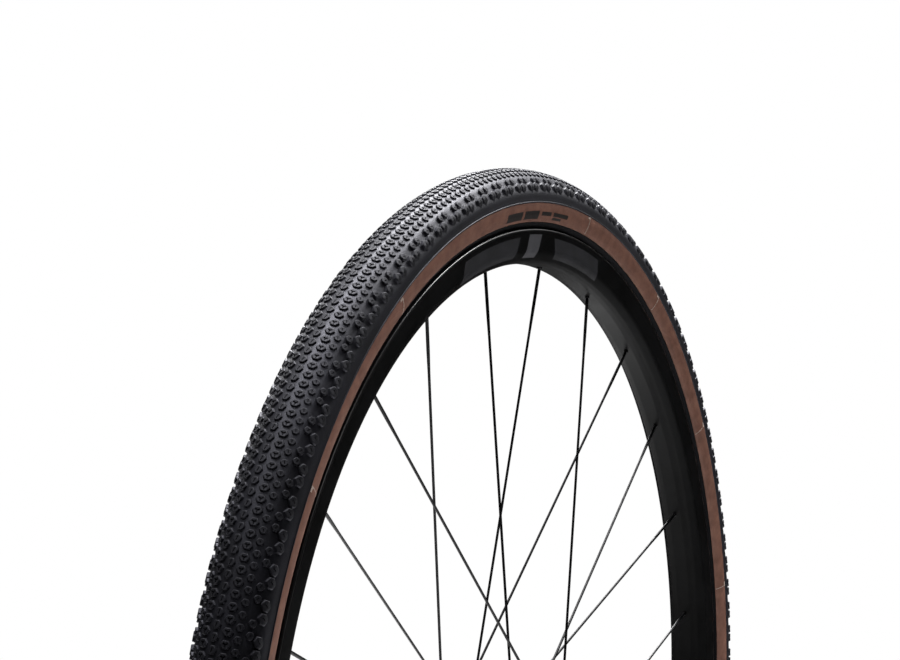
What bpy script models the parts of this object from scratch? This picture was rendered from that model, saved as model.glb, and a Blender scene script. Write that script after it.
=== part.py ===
"""Front bicycle wheel with a mounted 38-622 gravel tyre.

The tyre (tread, breaker, casing, sidewalls, chafers, bead cores) sits on a hollow
disc-brake rim with tape and a valve, laced with 24 two-cross spokes to a through-axle
hub on two cartridge bearings.  Origin: wheel centre.  Axle along Y, brake side at -Y,
+Z up, valve at the lowest point.  Metres throughout.
"""
import bpy
import bmesh
from math import acos, cos, pi, radians, sin, sqrt
from mathutils import Matrix, Vector

# ---------------------------------------------------------------- driving dimensions
CLEARANCE = 0.0003              # gap kept between neighbouring pieces
SLACK = 0.0001                  # added to a drilled hole, or kept to an edge
RING_SIDES = 36                 # sides of every large ring; shared, so that rings nest
HUB_SIDES = 24                  # sides of every turned hub piece
VALVE_SIDES = 12
DRILL_SIDES = 6

BEAD_SEAT_RADIUS = 0.3110       # ISO 622 bead seat
RIM_FLANGE_HEIGHT = 0.0055      # flange top above the bead seat
RIM_INNER_HALF_WIDTH = 0.0122   # between the two flanges
RIM_FLANGE_THICKNESS = 0.0027
RIM_DEPTH = 0.0210              # flange top to spoke bed
RIM_WALL = 0.0018
RIM_CHANNEL_DEPTH = 0.0030      # drop of the centre channel below the bead seat
RIM_CHANNEL_HALF_WIDTH = 0.0055
RIM_NOSE_HALF_WIDTH = 0.0055
RIM_SEAT_RAMP = 0.0020          # width of the slope from the channel up to the seat
RIM_LIP_CHAMFER = 0.0007        # on the inner edge of each flange
RIM_LIP_CHAMFER_HEIGHT = 0.0010
RIM_SIDE_LEAN = 0.0013          # how far each side leans in by its lower edge
RIM_SIDE_DROP = 0.0030          # that edge, below the middle of the rim's depth
RIM_NOSE_FLARE = 0.0042         # width and height of the curve from side to nose
RIM_NOSE_RISE = 0.0017

TYRE_SECTION_RADIUS = 0.0189    # inflated section without the tread blocks
TREAD_BLOCK_HEIGHT = 0.0023
SKIN_THICKNESS = 0.0009         # sidewall skin, chafer and tread base
BREAKER_THICKNESS = 0.0006
CASING_THICKNESS = 0.0007
TREAD_EDGE_ANGLE = 88.0         # degrees round the section from the crown
SIDEWALL_END_ANGLE = 125.0
SIDEWALL_MIDDLE_ANGLE = 106.0
JOINT_ANGLE = 0.9               # gap at each edge of a sidewall
BREAKER_EDGE_ANGLE = 58.0
BREAKER_CLEAR_ANGLE = 62.0      # the tread is at its full thickness from here
BEAD_CORE_SIZE = 0.0018
BEAD_TOE_WIDTH = 0.0041         # bead width on the seat
BEAD_SIDE_SLACK = 0.0002        # between bead and flange, beyond the usual clearance
LIP_RELIEF = 0.00095            # the casing leaves the flange this far outside the bead
HOOK_RISE = 0.00085             # and this far above the flange top
TAPE_THICKNESS = 0.0004

SPOKE_COUNT = 24
SPOKE_START_ANGLE = 142.5       # degrees from +X towards +Z
SPOKE_WRAP_ANGLE = 60.0         # hub hole ahead of or behind the rim hole, two-cross
SPOKE_RADIUS = 0.0010
SPOKE_SIDES = 6
SPOKE_HEAD_RADIUS = 0.0019
SPOKE_HEAD_HEIGHT = 0.0011
ELBOW_RISE = 0.0022             # elbow centreline above the flange face
NIPPLE_SHANK_RADIUS = 0.0017
NIPPLE_HEAD_RADIUS = 0.0028
NIPPLE_HEAD_HEIGHT = 0.0040
NIPPLE_REACH = 0.0025           # shank showing below the spoke bed
ACCESS_HOLE_RADIUS = 0.0044

AXLE_LENGTH = 0.1000            # between the two dropout faces
AXLE_BORE_RADIUS = 0.0061
BEARING_BORE_RADIUS = 0.0085    # 17 x 30 x 7 cartridge bearing
BEARING_OUTER_RADIUS = 0.0150
BEARING_WIDTH = 0.0070
RACE_THICKNESS = 0.0020
BALL_RADIUS = 0.0020
BALL_COUNT = 9
CAGE_HALF_SIZE = 0.0007         # of the square ring that spaces the balls
BEARING_INSET = 0.0010          # bearing face below the end of the hub shell
AXLE_WALL = 0.0010
CAP_FACE_RADIUS = 0.0102
CAP_NECK_LENGTH = 0.0050        # dropout face to the end of the hub shell
CAP_BRIM_THICKNESS = 0.0012
CAP_BRIM_RADIUS = 0.0165
CAP_STUB_LENGTH = 0.0080
HUB_BARREL_RADIUS = 0.0138
HUB_BARREL_WALL = 0.0030
HUB_END_WALL = 0.0025
HUB_FILLET = 0.0020             # short cones where the barrel meets the flanges
LEFT_CONE_LENGTH = 0.0060       # barrel to the brake-side flange
RIGHT_CONE_START = 0.0110       # barrel to the other flange, measured from its face
RIGHT_CONE_END = 0.0040
FLANGE_HOLE_CIRCLE_RADIUS = 0.0248
FLANGE_MARGIN = 0.0037          # hole circle to flange edge
FLANGE_THICKNESS = 0.0032
FLANGE_ROOT_MARGIN = 0.0010     # flat kept inside the spoke heads
FLANGE_HOLE_SLACK = 0.0005
LEFT_FLANGE_FROM_END = 0.0289   # brake side, measured from the end of the hub shell
RIGHT_FLANGE_FROM_END = 0.0077
ROTOR_SEAT_FROM_END = 0.0103
ROTOR_SEAT_RADIUS = 0.0212
ROTOR_SEAT_THICKNESS = 0.0030

VALVE_STEM_RADIUS = 0.0030
VALVE_TIP_RADIUS = 0.0024
VALVE_BORE_RADIUS = 0.0013
VALVE_THREAD_LENGTH = 0.0250    # below the spoke bed
VALVE_TIP_LENGTH = 0.0070
VALVE_HEAD_RADIUS = 0.0046
VALVE_HEAD_HEIGHT = 0.0012
GROMMET_HEIGHT = 0.0028
O_RING_RADIUS = 0.0046
O_RING_HEIGHT = 0.0016
LOCK_NUT_RADIUS = 0.0055
LOCK_NUT_HEIGHT = 0.0040
CORE_NUT_RADIUS = 0.0019
CORE_NUT_HEIGHT = 0.0040
CORE_LIFT = 0.0025              # travel of the opened valve core
CORE_PIN_HEIGHT = 0.0010        # pin standing out of the core nut
CORE_PIN_DEPTH = 0.0120         # pin inside the threaded stem
CAP_SHELL_WALL = 0.0010
CAP_SHELL_OVERLAP = 0.0060      # how far the cap covers the valve below its tip

# ---------------------------------------------------------------- derived dimensions
RIM_TOP = BEAD_SEAT_RADIUS + RIM_FLANGE_HEIGHT
RIM_OUTER_HALF_WIDTH = RIM_INNER_HALF_WIDTH + RIM_FLANGE_THICKNESS
SPOKE_BED = RIM_TOP - RIM_DEPTH
CHANNEL_FLOOR = BEAD_SEAT_RADIUS - RIM_CHANNEL_DEPTH
RIM_SIDE_FOOT = (RIM_TOP + SPOKE_BED) / 2 - RIM_SIDE_DROP
FACET_SHRINK = cos(pi / RING_SIDES)

BEAD_HALF_WIDTH = RIM_INNER_HALF_WIDTH - CLEARANCE - BEAD_SIDE_SLACK
HOOK_RADIUS = RIM_TOP + HOOK_RISE
HOOK_HALF_WIDTH = BEAD_HALF_WIDTH + LIP_RELIEF
SECTION_CENTRE = HOOK_RADIUS + sqrt(TYRE_SECTION_RADIUS ** 2 - HOOK_HALF_WIDTH ** 2)
HOOK_ANGLE = acos(HOOK_HALF_WIDTH / TYRE_SECTION_RADIUS)
FLARE_RADIUS = LIP_RELIEF / (1 - cos(HOOK_ANGLE))
FLARE_END = HOOK_RADIUS - FLARE_RADIUS * sin(HOOK_ANGLE)
BEAD_BASE = BEAD_SEAT_RADIUS + CLEARANCE
BEAD_TOE = BEAD_HALF_WIDTH - BEAD_TOE_WIDTH

HALF_AXLE = AXLE_LENGTH / 2
SHELL_END = HALF_AXLE - CAP_NECK_LENGTH
LEFT_FLANGE = -(SHELL_END - LEFT_FLANGE_FROM_END)
RIGHT_FLANGE = SHELL_END - RIGHT_FLANGE_FROM_END
BEARING_OUTER_FACE = SHELL_END - CLEARANCE - BEARING_INSET
BEARING_CENTRE = BEARING_OUTER_FACE - BEARING_WIDTH / 2
BEARING_SHOULDER = BEARING_OUTER_FACE - BEARING_WIDTH - CLEARANCE
SEAT_RADIUS = BEARING_OUTER_RADIUS + CLEARANCE
AXLE_RADIUS = BEARING_BORE_RADIUS - CLEARANCE
AXLE_INNER_RADIUS = AXLE_RADIUS - AXLE_WALL
BALL_CIRCLE = (BEARING_BORE_RADIUS + BEARING_OUTER_RADIUS) / 2
FLANGE_HOLE_RADIUS = SPOKE_RADIUS + FLANGE_HOLE_SLACK

VALVE_NUT_TOP = SPOKE_BED * FACET_SHRINK - CLEARANCE - O_RING_HEIGHT - CLEARANCE
VALVE_THREAD_END = SPOKE_BED - VALVE_THREAD_LENGTH
VALVE_TIP = VALVE_THREAD_END - VALVE_TIP_LENGTH
CORE_TOP = VALVE_TIP - CLEARANCE - CORE_NUT_HEIGHT


# ---------------------------------------------------------------- helpers
def paint(name, colour, roughness, metallic=0.0):
    """A plain Principled material."""
    material = bpy.data.materials.new(name)
    material.use_nodes = True
    shader = material.node_tree.nodes["Principled BSDF"]
    shader.inputs["Base Color"].default_value = (*colour, 1.0)
    shader.inputs["Roughness"].default_value = roughness
    shader.inputs["Metallic"].default_value = metallic
    return material


def add_object(name, shape, material, parent):
    """Turn a bmesh into a named object under a parent empty."""
    bmesh.ops.recalc_face_normals(shape, faces=shape.faces)
    mesh = bpy.data.meshes.new(name)
    shape.to_mesh(mesh)
    shape.free()
    mesh.shade_smooth()
    mesh.set_sharp_from_angle(angle=radians(40))
    node = bpy.data.objects.new(name, mesh)
    bpy.context.scene.collection.objects.link(node)
    node.parent = parent
    if material is not None:
        mesh.materials.append(material)
    return node


def add_pivot(name, location=(0, 0, 0), parent=None):
    """An empty on a joint's axis."""
    pivot = bpy.data.objects.new(name, None)
    bpy.context.scene.collection.objects.link(pivot)
    pivot.location = location
    pivot.parent = parent
    return pivot


def turn(profile, sides, shape=None, place=Matrix.Identity(4)):
    """Turn a closed (radius, height) outline about Z, then place it."""
    shape = shape or bmesh.new()
    rings = []
    for radius, height in profile:
        if radius < 1e-9:
            rings.append([shape.verts.new(place @ Vector((0, 0, height)))] * sides)
            continue
        ring = []
        for side in range(sides):
            angle = 2 * pi * side / sides
            point = Vector((radius * cos(angle), radius * sin(angle), height))
            ring.append(shape.verts.new(place @ point))
        rings.append(ring)
    for this, following in zip(rings, rings[1:] + rings[:1]):
        for side in range(sides):
            after = (side + 1) % sides
            corners = [this[side], this[after], following[after], following[side]]
            corners = list(dict.fromkeys(corners))
            if len(corners) > 2:
                shape.faces.new(corners)
    return shape


# Z of a turned outline becomes Y, so that its height runs along the axle.
ALONG_AXLE = Matrix.Rotation(radians(-90), 4, "X")
# Z of a turned outline becomes -Z, so that its height is the distance below the centre.
DOWN_VALVE = Matrix.Rotation(radians(180), 4, "X")


def add_ring(name, outline, material, parent):
    """A large ring about the axle, from (radius, y) points."""
    shape = turn(outline, RING_SIDES, place=ALONG_AXLE)
    return add_object(name, shape, material, parent)


def add_turned(name, outline, material, parent):
    """A turned hub piece about the axle, from (radius, y) points."""
    shape = turn(outline, HUB_SIDES, place=ALONG_AXLE)
    return add_object(name, shape, material, parent)


def mirrored(outline, side):
    """The outline on the left (-1) or right (+1) side of the wheel."""
    return [(radius, side * y) for radius, y in outline]


def cut(target, shape, name):
    """Cut a bmesh out of an object with a live Boolean."""
    cutter = add_object(name, shape, None, None)
    cutter.hide_render = True
    cutter.display_type = "WIRE"
    modifier = target.modifiers.new(name, "BOOLEAN")
    modifier.operation = "DIFFERENCE"
    modifier.solver = "EXACT"
    modifier.object = cutter


def along(start, direction):
    """A frame at start whose Z points along direction."""
    turned = direction.to_track_quat("Z", "Y").to_matrix().to_4x4()
    return Matrix.Translation(start) @ turned


# ---------------------------------------------------------------- tyre
def section(angle, depth=0.0):
    """A (radius, y) point of the tyre section, depth below its outer skin."""
    reach = TYRE_SECTION_RADIUS - depth
    return (SECTION_CENTRE + reach * cos(radians(angle)), reach * sin(radians(angle)))


def hook(depth):
    """The casing where it flares from the round section down to the bead."""
    reach = FLARE_RADIUS + depth
    centre = BEAD_HALF_WIDTH + FLARE_RADIUS
    start = (FLARE_END + reach * sin(HOOK_ANGLE), centre - reach * cos(HOOK_ANGLE))
    return [start, (FLARE_END, centre - reach)]


def band(angles, depth):
    return [section(angle, depth) for angle in angles]


def make_tread(material, parent):
    """The tread cap up to the tops of its blocks, thicker where no breaker runs."""
    edge = TREAD_EDGE_ANGLE
    heights = [(0, 1.0), (30, 1.0), (60, 1.0), (68, 0.9), (80, 0.2), (edge, 0.0)]
    outer = [section(a, -TREAD_BLOCK_HEIGHT * share) for a, share in heights]
    inner = band([edge, BREAKER_CLEAR_ANGLE + 2], SKIN_THICKNESS)
    inner += band([BREAKER_CLEAR_ANGLE, BREAKER_EDGE_ANGLE, 30, 0], 0.0)
    right = outer + inner[:-1]
    left = mirrored(outer[1:] + inner[:-1], -1)[::-1]
    crown_inner = inner[-1]
    outline = right + [crown_inner] + left
    return add_ring("tread_cap", outline, material, parent)


def make_band(name, angles, top, bottom, material, parent):
    """A strip of constant thickness across the crown."""
    whole = [-angle for angle in angles[:0:-1]] + angles
    outline = band(whole, top) + band(whole[::-1], bottom)
    return add_ring(name, outline, material, parent)


def make_casing(material, parent):
    """The woven casing, from bead to bead under tread and sidewalls."""
    top = SKIN_THICKNESS + CLEARANCE
    bottom = top + CASING_THICKNESS
    angles = [0, 30, BREAKER_CLEAR_ANGLE, TREAD_EDGE_ANGLE, SIDEWALL_MIDDLE_ANGLE]
    angles.append(SIDEWALL_END_ANGLE)
    foot = BEAD_BASE + SKIN_THICKNESS + 2 * CLEARANCE + BEAD_CORE_SIZE
    walls = []
    for depth in (top, bottom):
        half = band(angles, depth) + hook(depth)
        half.append((foot, half[-1][1]))
        walls.append(half)
    outer, inner = walls
    right = outer + inner[::-1]
    left = mirrored(outer[1:] + inner[:0:-1], -1)[::-1]
    return add_ring("casing_ply", right + left, material, parent)


def make_sidewall(side, name, material, parent):
    angles = [TREAD_EDGE_ANGLE + JOINT_ANGLE, SIDEWALL_MIDDLE_ANGLE]
    angles.append(SIDEWALL_END_ANGLE - JOINT_ANGLE)
    outline = band(angles, 0.0) + band(angles[::-1], SKIN_THICKNESS)
    return add_ring(name, mirrored(outline, side), material, parent)


def make_chafer(side, name, material, parent):
    """The rubbing strip: from the sidewall into the rim and round the bead core."""
    top_of_toe = BEAD_BASE + SKIN_THICKNESS + 2 * CLEARANCE + BEAD_CORE_SIZE
    base_top = BEAD_BASE + SKIN_THICKNESS
    outer = [section(SIDEWALL_END_ANGLE)] + hook(0.0)
    outer += [(BEAD_BASE, BEAD_HALF_WIDTH), (BEAD_BASE, BEAD_TOE)]
    inner = [(top_of_toe, BEAD_TOE), (top_of_toe, BEAD_TOE + SKIN_THICKNESS)]
    inner += [(base_top, BEAD_TOE + SKIN_THICKNESS)]
    inner += [(base_top, BEAD_HALF_WIDTH - SKIN_THICKNESS)]
    inner += hook(SKIN_THICKNESS)[::-1]
    inner += [section(SIDEWALL_END_ANGLE, SKIN_THICKNESS)]
    return add_ring(name, mirrored(outer + inner, side), material, parent)


def make_bead_core(side, name, material, parent):
    low = BEAD_BASE + SKIN_THICKNESS + CLEARANCE
    high = low + BEAD_CORE_SIZE
    pocket = (BEAD_TOE + BEAD_HALF_WIDTH) / 2
    near = pocket - BEAD_CORE_SIZE / 2
    far = pocket + BEAD_CORE_SIZE / 2
    outline = [(low, near), (low, far), (high, far), (high, near)]
    return add_ring(name, mirrored(outline, side), material, parent)


def make_tyre(wheel):
    rubber = paint("tyre_rubber", (0.020, 0.020, 0.022), 0.6)
    brown = paint("tan_sidewall", (0.14, 0.085, 0.065), 0.7)
    nylon = paint("casing_nylon", (0.25, 0.23, 0.20), 0.8)
    aramid = paint("breaker_aramid", (0.45, 0.36, 0.12), 0.8)
    make_tread(rubber, wheel)
    make_band("breaker_belt", [0, 30, BREAKER_EDGE_ANGLE], CLEARANCE,
              CLEARANCE + BREAKER_THICKNESS, aramid, wheel)
    make_casing(nylon, wheel)
    for side, word in ((-1, "left"), (1, "right")):
        make_sidewall(side, "sidewall_" + word, brown, wheel)
        make_chafer(side, "chafer_" + word, rubber, wheel)
        make_bead_core(side, "bead_core_" + word, aramid, wheel)


# ---------------------------------------------------------------- spokes
class Spoke:
    """Where one spoke leaves the hub flange and where it meets the rim."""

    def __init__(self, index):
        self.name = "spoke_%02d" % (index + 1)
        angle = radians(SPOKE_START_ANGLE - index * 360.0 / SPOKE_COUNT)
        leading = 1 if (index // 2) % 2 == 0 else -1
        hole = angle - leading * radians(SPOKE_WRAP_ANGLE)
        outward, flange = (1, RIGHT_FLANGE) if index % 2 == 0 else (-1, LEFT_FLANGE)
        self.run_side = outward * leading
        self.hole = Vector((FLANGE_HOLE_CIRCLE_RADIUS * cos(hole), flange,
                            FLANGE_HOLE_CIRCLE_RADIUS * sin(hole)))
        self.rim = Vector((SPOKE_BED * cos(angle), 0, SPOKE_BED * sin(angle)))
        flat = Vector((self.rim.x - self.hole.x, 0, self.rim.z - self.hole.z))
        self.flat = flat.normalized()
        face = Vector((0, self.run_side * FLANGE_THICKNESS / 2, 0))
        self.face = self.hole + face
        rise = Vector((0, self.run_side * ELBOW_RISE, 0))
        self.elbow = self.face + rise + self.flat * ELBOW_RISE
        self.direction = (self.rim - self.elbow).normalized()

    def elbow_point(self, angle):
        """A point of the round bend; 0 is at the flange face, 90 at the elbow."""
        rise = Vector((0, self.run_side * ELBOW_RISE * sin(radians(angle)), 0))
        return self.face + rise + self.flat * ELBOW_RISE * (1 - cos(radians(angle)))

    def at(self, distance):
        """A point on the spoke's line, this far outside the spoke bed."""
        return self.rim + self.direction * distance


def sweep(stations, shape):
    """Join (centre, direction, radius) stations into one closed round bar."""
    rings = []
    for centre, direction, radius in stations:
        place = along(centre, direction)
        ring = []
        for side in range(SPOKE_SIDES):
            angle = 2 * pi * side / SPOKE_SIDES
            spot = Vector((radius * cos(angle), radius * sin(angle), 0))
            ring.append(shape.verts.new(place @ spot))
        rings.append(ring)
    for this, following in zip(rings, rings[1:]):
        for side in range(SPOKE_SIDES):
            after = (side + 1) % SPOKE_SIDES
            shape.faces.new([this[side], this[after], following[after], following[side]])
    shape.faces.new(rings[0][::-1])
    shape.faces.new(rings[-1])
    return shape


def make_spoke(spoke, material, parent):
    """J-bend spoke with its head, elbow, blade and the nipple threaded on its end."""
    axial = Vector((0, spoke.run_side, 0))
    back = spoke.face - axial * (FLANGE_THICKNESS + CLEARANCE)
    seat = RIM_WALL + CLEARANCE + NIPPLE_HEAD_RADIUS * 0.15
    stations = [
        (back - axial * SPOKE_HEAD_HEIGHT, axial, SPOKE_HEAD_RADIUS * 0.6),
        (back, axial, SPOKE_HEAD_RADIUS),
        (back, axial, SPOKE_RADIUS),
        (spoke.face, axial, SPOKE_RADIUS),
    ]
    bend = [(spoke.elbow_point(45), (axial + spoke.flat).normalized(), SPOKE_RADIUS)]
    run = [
        (spoke.elbow, spoke.direction, SPOKE_RADIUS),
        (spoke.at(-NIPPLE_REACH), spoke.direction, SPOKE_RADIUS),
        (spoke.at(-NIPPLE_REACH), spoke.direction, NIPPLE_SHANK_RADIUS),
        (spoke.at(seat), spoke.direction, NIPPLE_SHANK_RADIUS),
        (spoke.at(seat), spoke.direction, NIPPLE_HEAD_RADIUS),
        (spoke.at(seat + NIPPLE_HEAD_HEIGHT), spoke.direction, NIPPLE_HEAD_RADIUS),
    ]
    shape = sweep(stations + bend + run, bmesh.new())
    return add_object(spoke.name, shape, material, parent)


# ---------------------------------------------------------------- rim
def rim_outline():
    """Outer contour: bead seats, flanges, sides and nose (right half, then left)."""
    right = [
        (CHANNEL_FLOOR, RIM_CHANNEL_HALF_WIDTH),
        (BEAD_SEAT_RADIUS, RIM_CHANNEL_HALF_WIDTH + RIM_SEAT_RAMP),
        (BEAD_SEAT_RADIUS, RIM_INNER_HALF_WIDTH),
        (RIM_TOP - RIM_LIP_CHAMFER_HEIGHT, RIM_INNER_HALF_WIDTH),
        (RIM_TOP, RIM_INNER_HALF_WIDTH + RIM_LIP_CHAMFER),
        (RIM_TOP, RIM_OUTER_HALF_WIDTH),
        (RIM_SIDE_FOOT, RIM_OUTER_HALF_WIDTH - RIM_SIDE_LEAN),
        (SPOKE_BED + RIM_NOSE_RISE, RIM_NOSE_HALF_WIDTH + RIM_NOSE_FLARE),
        (SPOKE_BED, RIM_NOSE_HALF_WIDTH),
    ]
    return right + mirrored(right, -1)[::-1]


def rim_hollow():
    """Inner contour of the hollow chamber, one wall inside the outer contour.

    A corner of the chamber lies half a wall further along a slanting wall."""
    roof = CHANNEL_FLOOR - RIM_WALL
    under_seat = BEAD_SEAT_RADIUS - RIM_WALL
    side = RIM_OUTER_HALF_WIDTH - RIM_WALL
    half_wall = RIM_WALL / 2
    right = [
        (roof, RIM_CHANNEL_HALF_WIDTH + half_wall / 2),
        (under_seat, RIM_CHANNEL_HALF_WIDTH + RIM_SEAT_RAMP + half_wall),
        (under_seat, side - half_wall),
        (RIM_SIDE_FOOT, side - RIM_SIDE_LEAN),
        (SPOKE_BED + RIM_WALL * 5 / 3, RIM_NOSE_HALF_WIDTH + RIM_NOSE_FLARE - half_wall),
        (SPOKE_BED + RIM_WALL, RIM_NOSE_HALF_WIDTH - half_wall / 2),
    ]
    return right + mirrored(right, -1)[::-1]


def spoke_hole_cutter(spokes):
    """One stepped drill per spoke: nipple hole in the bed, access hole in the roof."""
    shape = bmesh.new()
    step = (CHANNEL_FLOOR - RIM_WALL - SPOKE_BED) / 2 + RIM_WALL / 2
    narrow = NIPPLE_SHANK_RADIUS + CLEARANCE + SLACK
    below = RIM_DEPTH / 3
    outline = [
        (0, -below),
        (narrow, -below),
        (narrow, step),
        (ACCESS_HOLE_RADIUS, step),
        (ACCESS_HOLE_RADIUS, RIM_DEPTH),
        (0, RIM_DEPTH),
    ]
    for spoke in spokes:
        turn(outline, DRILL_SIDES, shape, along(spoke.rim, spoke.direction))
    return shape


def valve_drill():
    radius = VALVE_STEM_RADIUS + CLEARANCE + SLACK
    start = SPOKE_BED - RIM_DEPTH / 4
    outline = [(0, start), (radius, start)]
    outline += [(radius, RIM_TOP), (0, RIM_TOP)]
    return turn(outline, VALVE_SIDES, place=DOWN_VALVE)


def make_rim(wheel, spokes):
    black = paint("rim_black", (0.012, 0.012, 0.013), 0.45)
    amber = paint("rim_tape_film", (0.30, 0.24, 0.10), 0.3)
    shape = turn(rim_outline(), RING_SIDES, place=ALONG_AXLE)
    rim = add_object("rim_shell", shape, black, wheel)
    chamber = turn(rim_hollow(), RING_SIDES, place=ALONG_AXLE)
    cut(rim, chamber, "rim_chamber_cutter")
    cut(rim, spoke_hole_cutter(spokes), "spoke_hole_cutter")
    cut(rim, valve_drill(), "rim_valve_drill")
    under = BEAD_SEAT_RADIUS + CLEARANCE
    floor = CHANNEL_FLOOR + CLEARANCE
    beside_toe = BEAD_TOE - CLEARANCE - SLACK
    edge = min(RIM_CHANNEL_HALF_WIDTH + RIM_SEAT_RAMP - TAPE_THICKNESS, beside_toe)
    right = [
        (floor, RIM_CHANNEL_HALF_WIDTH - 2 * SLACK),
        (under, edge),
        (under + TAPE_THICKNESS, edge),
        (floor + TAPE_THICKNESS, RIM_CHANNEL_HALF_WIDTH - TAPE_THICKNESS),
    ]
    left = mirrored(right, -1)
    outline = right + left[::-1]
    tape = add_ring("rim_tape", outline, amber, wheel)
    cut(tape, valve_drill(), "tape_valve_drill")


# ---------------------------------------------------------------- hub
def hub_outline():
    """Turned hub shell: barrel, two flanges, brake mount at -Y, bearing seats."""
    edge = FLANGE_HOLE_CIRCLE_RADIUS + FLANGE_MARGIN
    half = FLANGE_THICKNESS / 2
    root = FLANGE_HOLE_CIRCLE_RADIUS - SPOKE_HEAD_RADIUS - FLANGE_ROOT_MARGIN
    nose = SEAT_RADIUS + HUB_END_WALL
    rotor = -(SHELL_END - ROTOR_SEAT_FROM_END)
    bore = HUB_BARREL_RADIUS - HUB_BARREL_WALL
    outer = [
        (nose, -SHELL_END),
        (nose, rotor),
        (ROTOR_SEAT_RADIUS, rotor),
        (ROTOR_SEAT_RADIUS, rotor + ROTOR_SEAT_THICKNESS),
        (nose, LEFT_FLANGE - half - HUB_FILLET),
        (root, LEFT_FLANGE - half),
        (edge, LEFT_FLANGE - half),
        (edge, LEFT_FLANGE + half),
        (HUB_BARREL_RADIUS + HUB_FILLET, LEFT_FLANGE + half),
        (HUB_BARREL_RADIUS, LEFT_FLANGE + half + LEFT_CONE_LENGTH),
        (HUB_BARREL_RADIUS, RIGHT_FLANGE - half - RIGHT_CONE_START),
        (nose, RIGHT_FLANGE - half - RIGHT_CONE_END),
        (nose, RIGHT_FLANGE - half),
        (edge, RIGHT_FLANGE - half),
        (edge, RIGHT_FLANGE + half),
        (nose, RIGHT_FLANGE + half),
        (nose, SHELL_END),
    ]
    inner = [
        (SEAT_RADIUS, SHELL_END),
        (SEAT_RADIUS, BEARING_SHOULDER),
        (bore, BEARING_SHOULDER),
        (bore, -BEARING_SHOULDER),
        (SEAT_RADIUS, -BEARING_SHOULDER),
        (SEAT_RADIUS, -SHELL_END),
    ]
    return outer + inner


def flange_drills(spokes):
    shape = bmesh.new()
    reach = FLANGE_THICKNESS * 0.75
    outline = [(0, -reach), (FLANGE_HOLE_RADIUS, -reach)]
    outline += [(FLANGE_HOLE_RADIUS, reach), (0, reach)]
    for spoke in spokes:
        turn(outline, DRILL_SIDES, shape, Matrix.Translation(spoke.hole) @ ALONG_AXLE)
    return shape


def race_outline(inner):
    """Half-open groove race; the ball centre lies on BALL_CIRCLE."""
    half = BEARING_WIDTH / 2
    groove = BALL_RADIUS + CLEARANCE
    floor_half_width = BALL_RADIUS / 3
    if inner:
        back, land = BEARING_BORE_RADIUS, BEARING_BORE_RADIUS + RACE_THICKNESS
        floor = BALL_CIRCLE - groove
    else:
        back, land = BEARING_OUTER_RADIUS, BEARING_OUTER_RADIUS - RACE_THICKNESS
        floor = BALL_CIRCLE + groove + SLACK
    mouth = sqrt(max(groove ** 2 - (land - BALL_CIRCLE) ** 2, 0)) + 2 * SLACK
    front = [(land, half), (land, mouth), (floor, floor_half_width)]
    front += [(floor, -floor_half_width), (land, -mouth), (land, -half)]
    return [(back, -half), (back, half)] + front


def moved(outline, offset):
    return [(radius, y + offset) for radius, y in outline]


def cage_ring(offset):
    """The square ring that carries the balls."""
    ring = CAGE_HALF_SIZE
    outline = [(BALL_CIRCLE - ring, -ring), (BALL_CIRCLE + ring, -ring)]
    outline += [(BALL_CIRCLE + ring, ring), (BALL_CIRCLE - ring, ring)]
    return turn(moved(outline, offset), HUB_SIDES, place=ALONG_AXLE)


def balls(offset):
    shape = bmesh.new()
    for index in range(BALL_COUNT):
        angle = 2 * pi * index / BALL_COUNT
        spot = Vector((BALL_CIRCLE * cos(angle), offset, BALL_CIRCLE * sin(angle)))
        bmesh.ops.create_icosphere(shape, subdivisions=1, radius=BALL_RADIUS,
                                   matrix=Matrix.Translation(spot))
    return shape


def make_bearing(side, word, axle, wheel, steel, seal_rubber):
    offset = side * BEARING_CENTRE
    inner = moved(race_outline(True), offset)
    outer = moved(race_outline(False), offset)
    add_turned("bearing_inner_race_" + word, inner, steel, axle)
    add_turned("bearing_outer_race_" + word, outer, steel, wheel)
    low = BEARING_BORE_RADIUS + RACE_THICKNESS + CLEARANCE
    high = BEARING_OUTER_RADIUS - RACE_THICKNESS - CLEARANCE
    near = BALL_RADIUS + CLEARANCE
    far = BEARING_WIDTH / 2 - SLACK
    seal = [(low, near), (high, near), (high, far), (low, far)]
    seal = moved(mirrored(seal, side), offset)
    add_turned("bearing_seal_" + word, seal, seal_rubber, wheel)
    cage = add_pivot("ball_set_axis_" + word)
    node = add_object("ball_set_" + word, cage_ring(offset), steel, cage)
    filler = add_object("balls_cutter_" + word, balls(offset), None, None)
    filler.hide_render = True
    filler.display_type = "WIRE"
    modifier = node.modifiers.new("balls", "BOOLEAN")
    modifier.operation = "UNION"
    modifier.solver = "EXACT"
    modifier.object = filler


def end_cap_outline():
    """Push-on end cap: stub inside the axle, collar on the race, dust brim."""
    brim = SHELL_END + CLEARANCE
    stub = BEARING_OUTER_FACE - CAP_STUB_LENGTH
    collar = BEARING_OUTER_FACE + CLEARANCE
    stub_radius = AXLE_INNER_RADIUS - CLEARANCE
    return [
        (AXLE_BORE_RADIUS, stub),
        (stub_radius, stub),
        (stub_radius, collar),
        (CAP_FACE_RADIUS, collar),
        (CAP_FACE_RADIUS, brim),
        (CAP_BRIM_RADIUS, brim),
        (CAP_BRIM_RADIUS, brim + CAP_BRIM_THICKNESS),
        (CAP_FACE_RADIUS, brim + CAP_BRIM_THICKNESS),
        (CAP_FACE_RADIUS, HALF_AXLE),
        (AXLE_BORE_RADIUS, HALF_AXLE),
    ]


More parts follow.
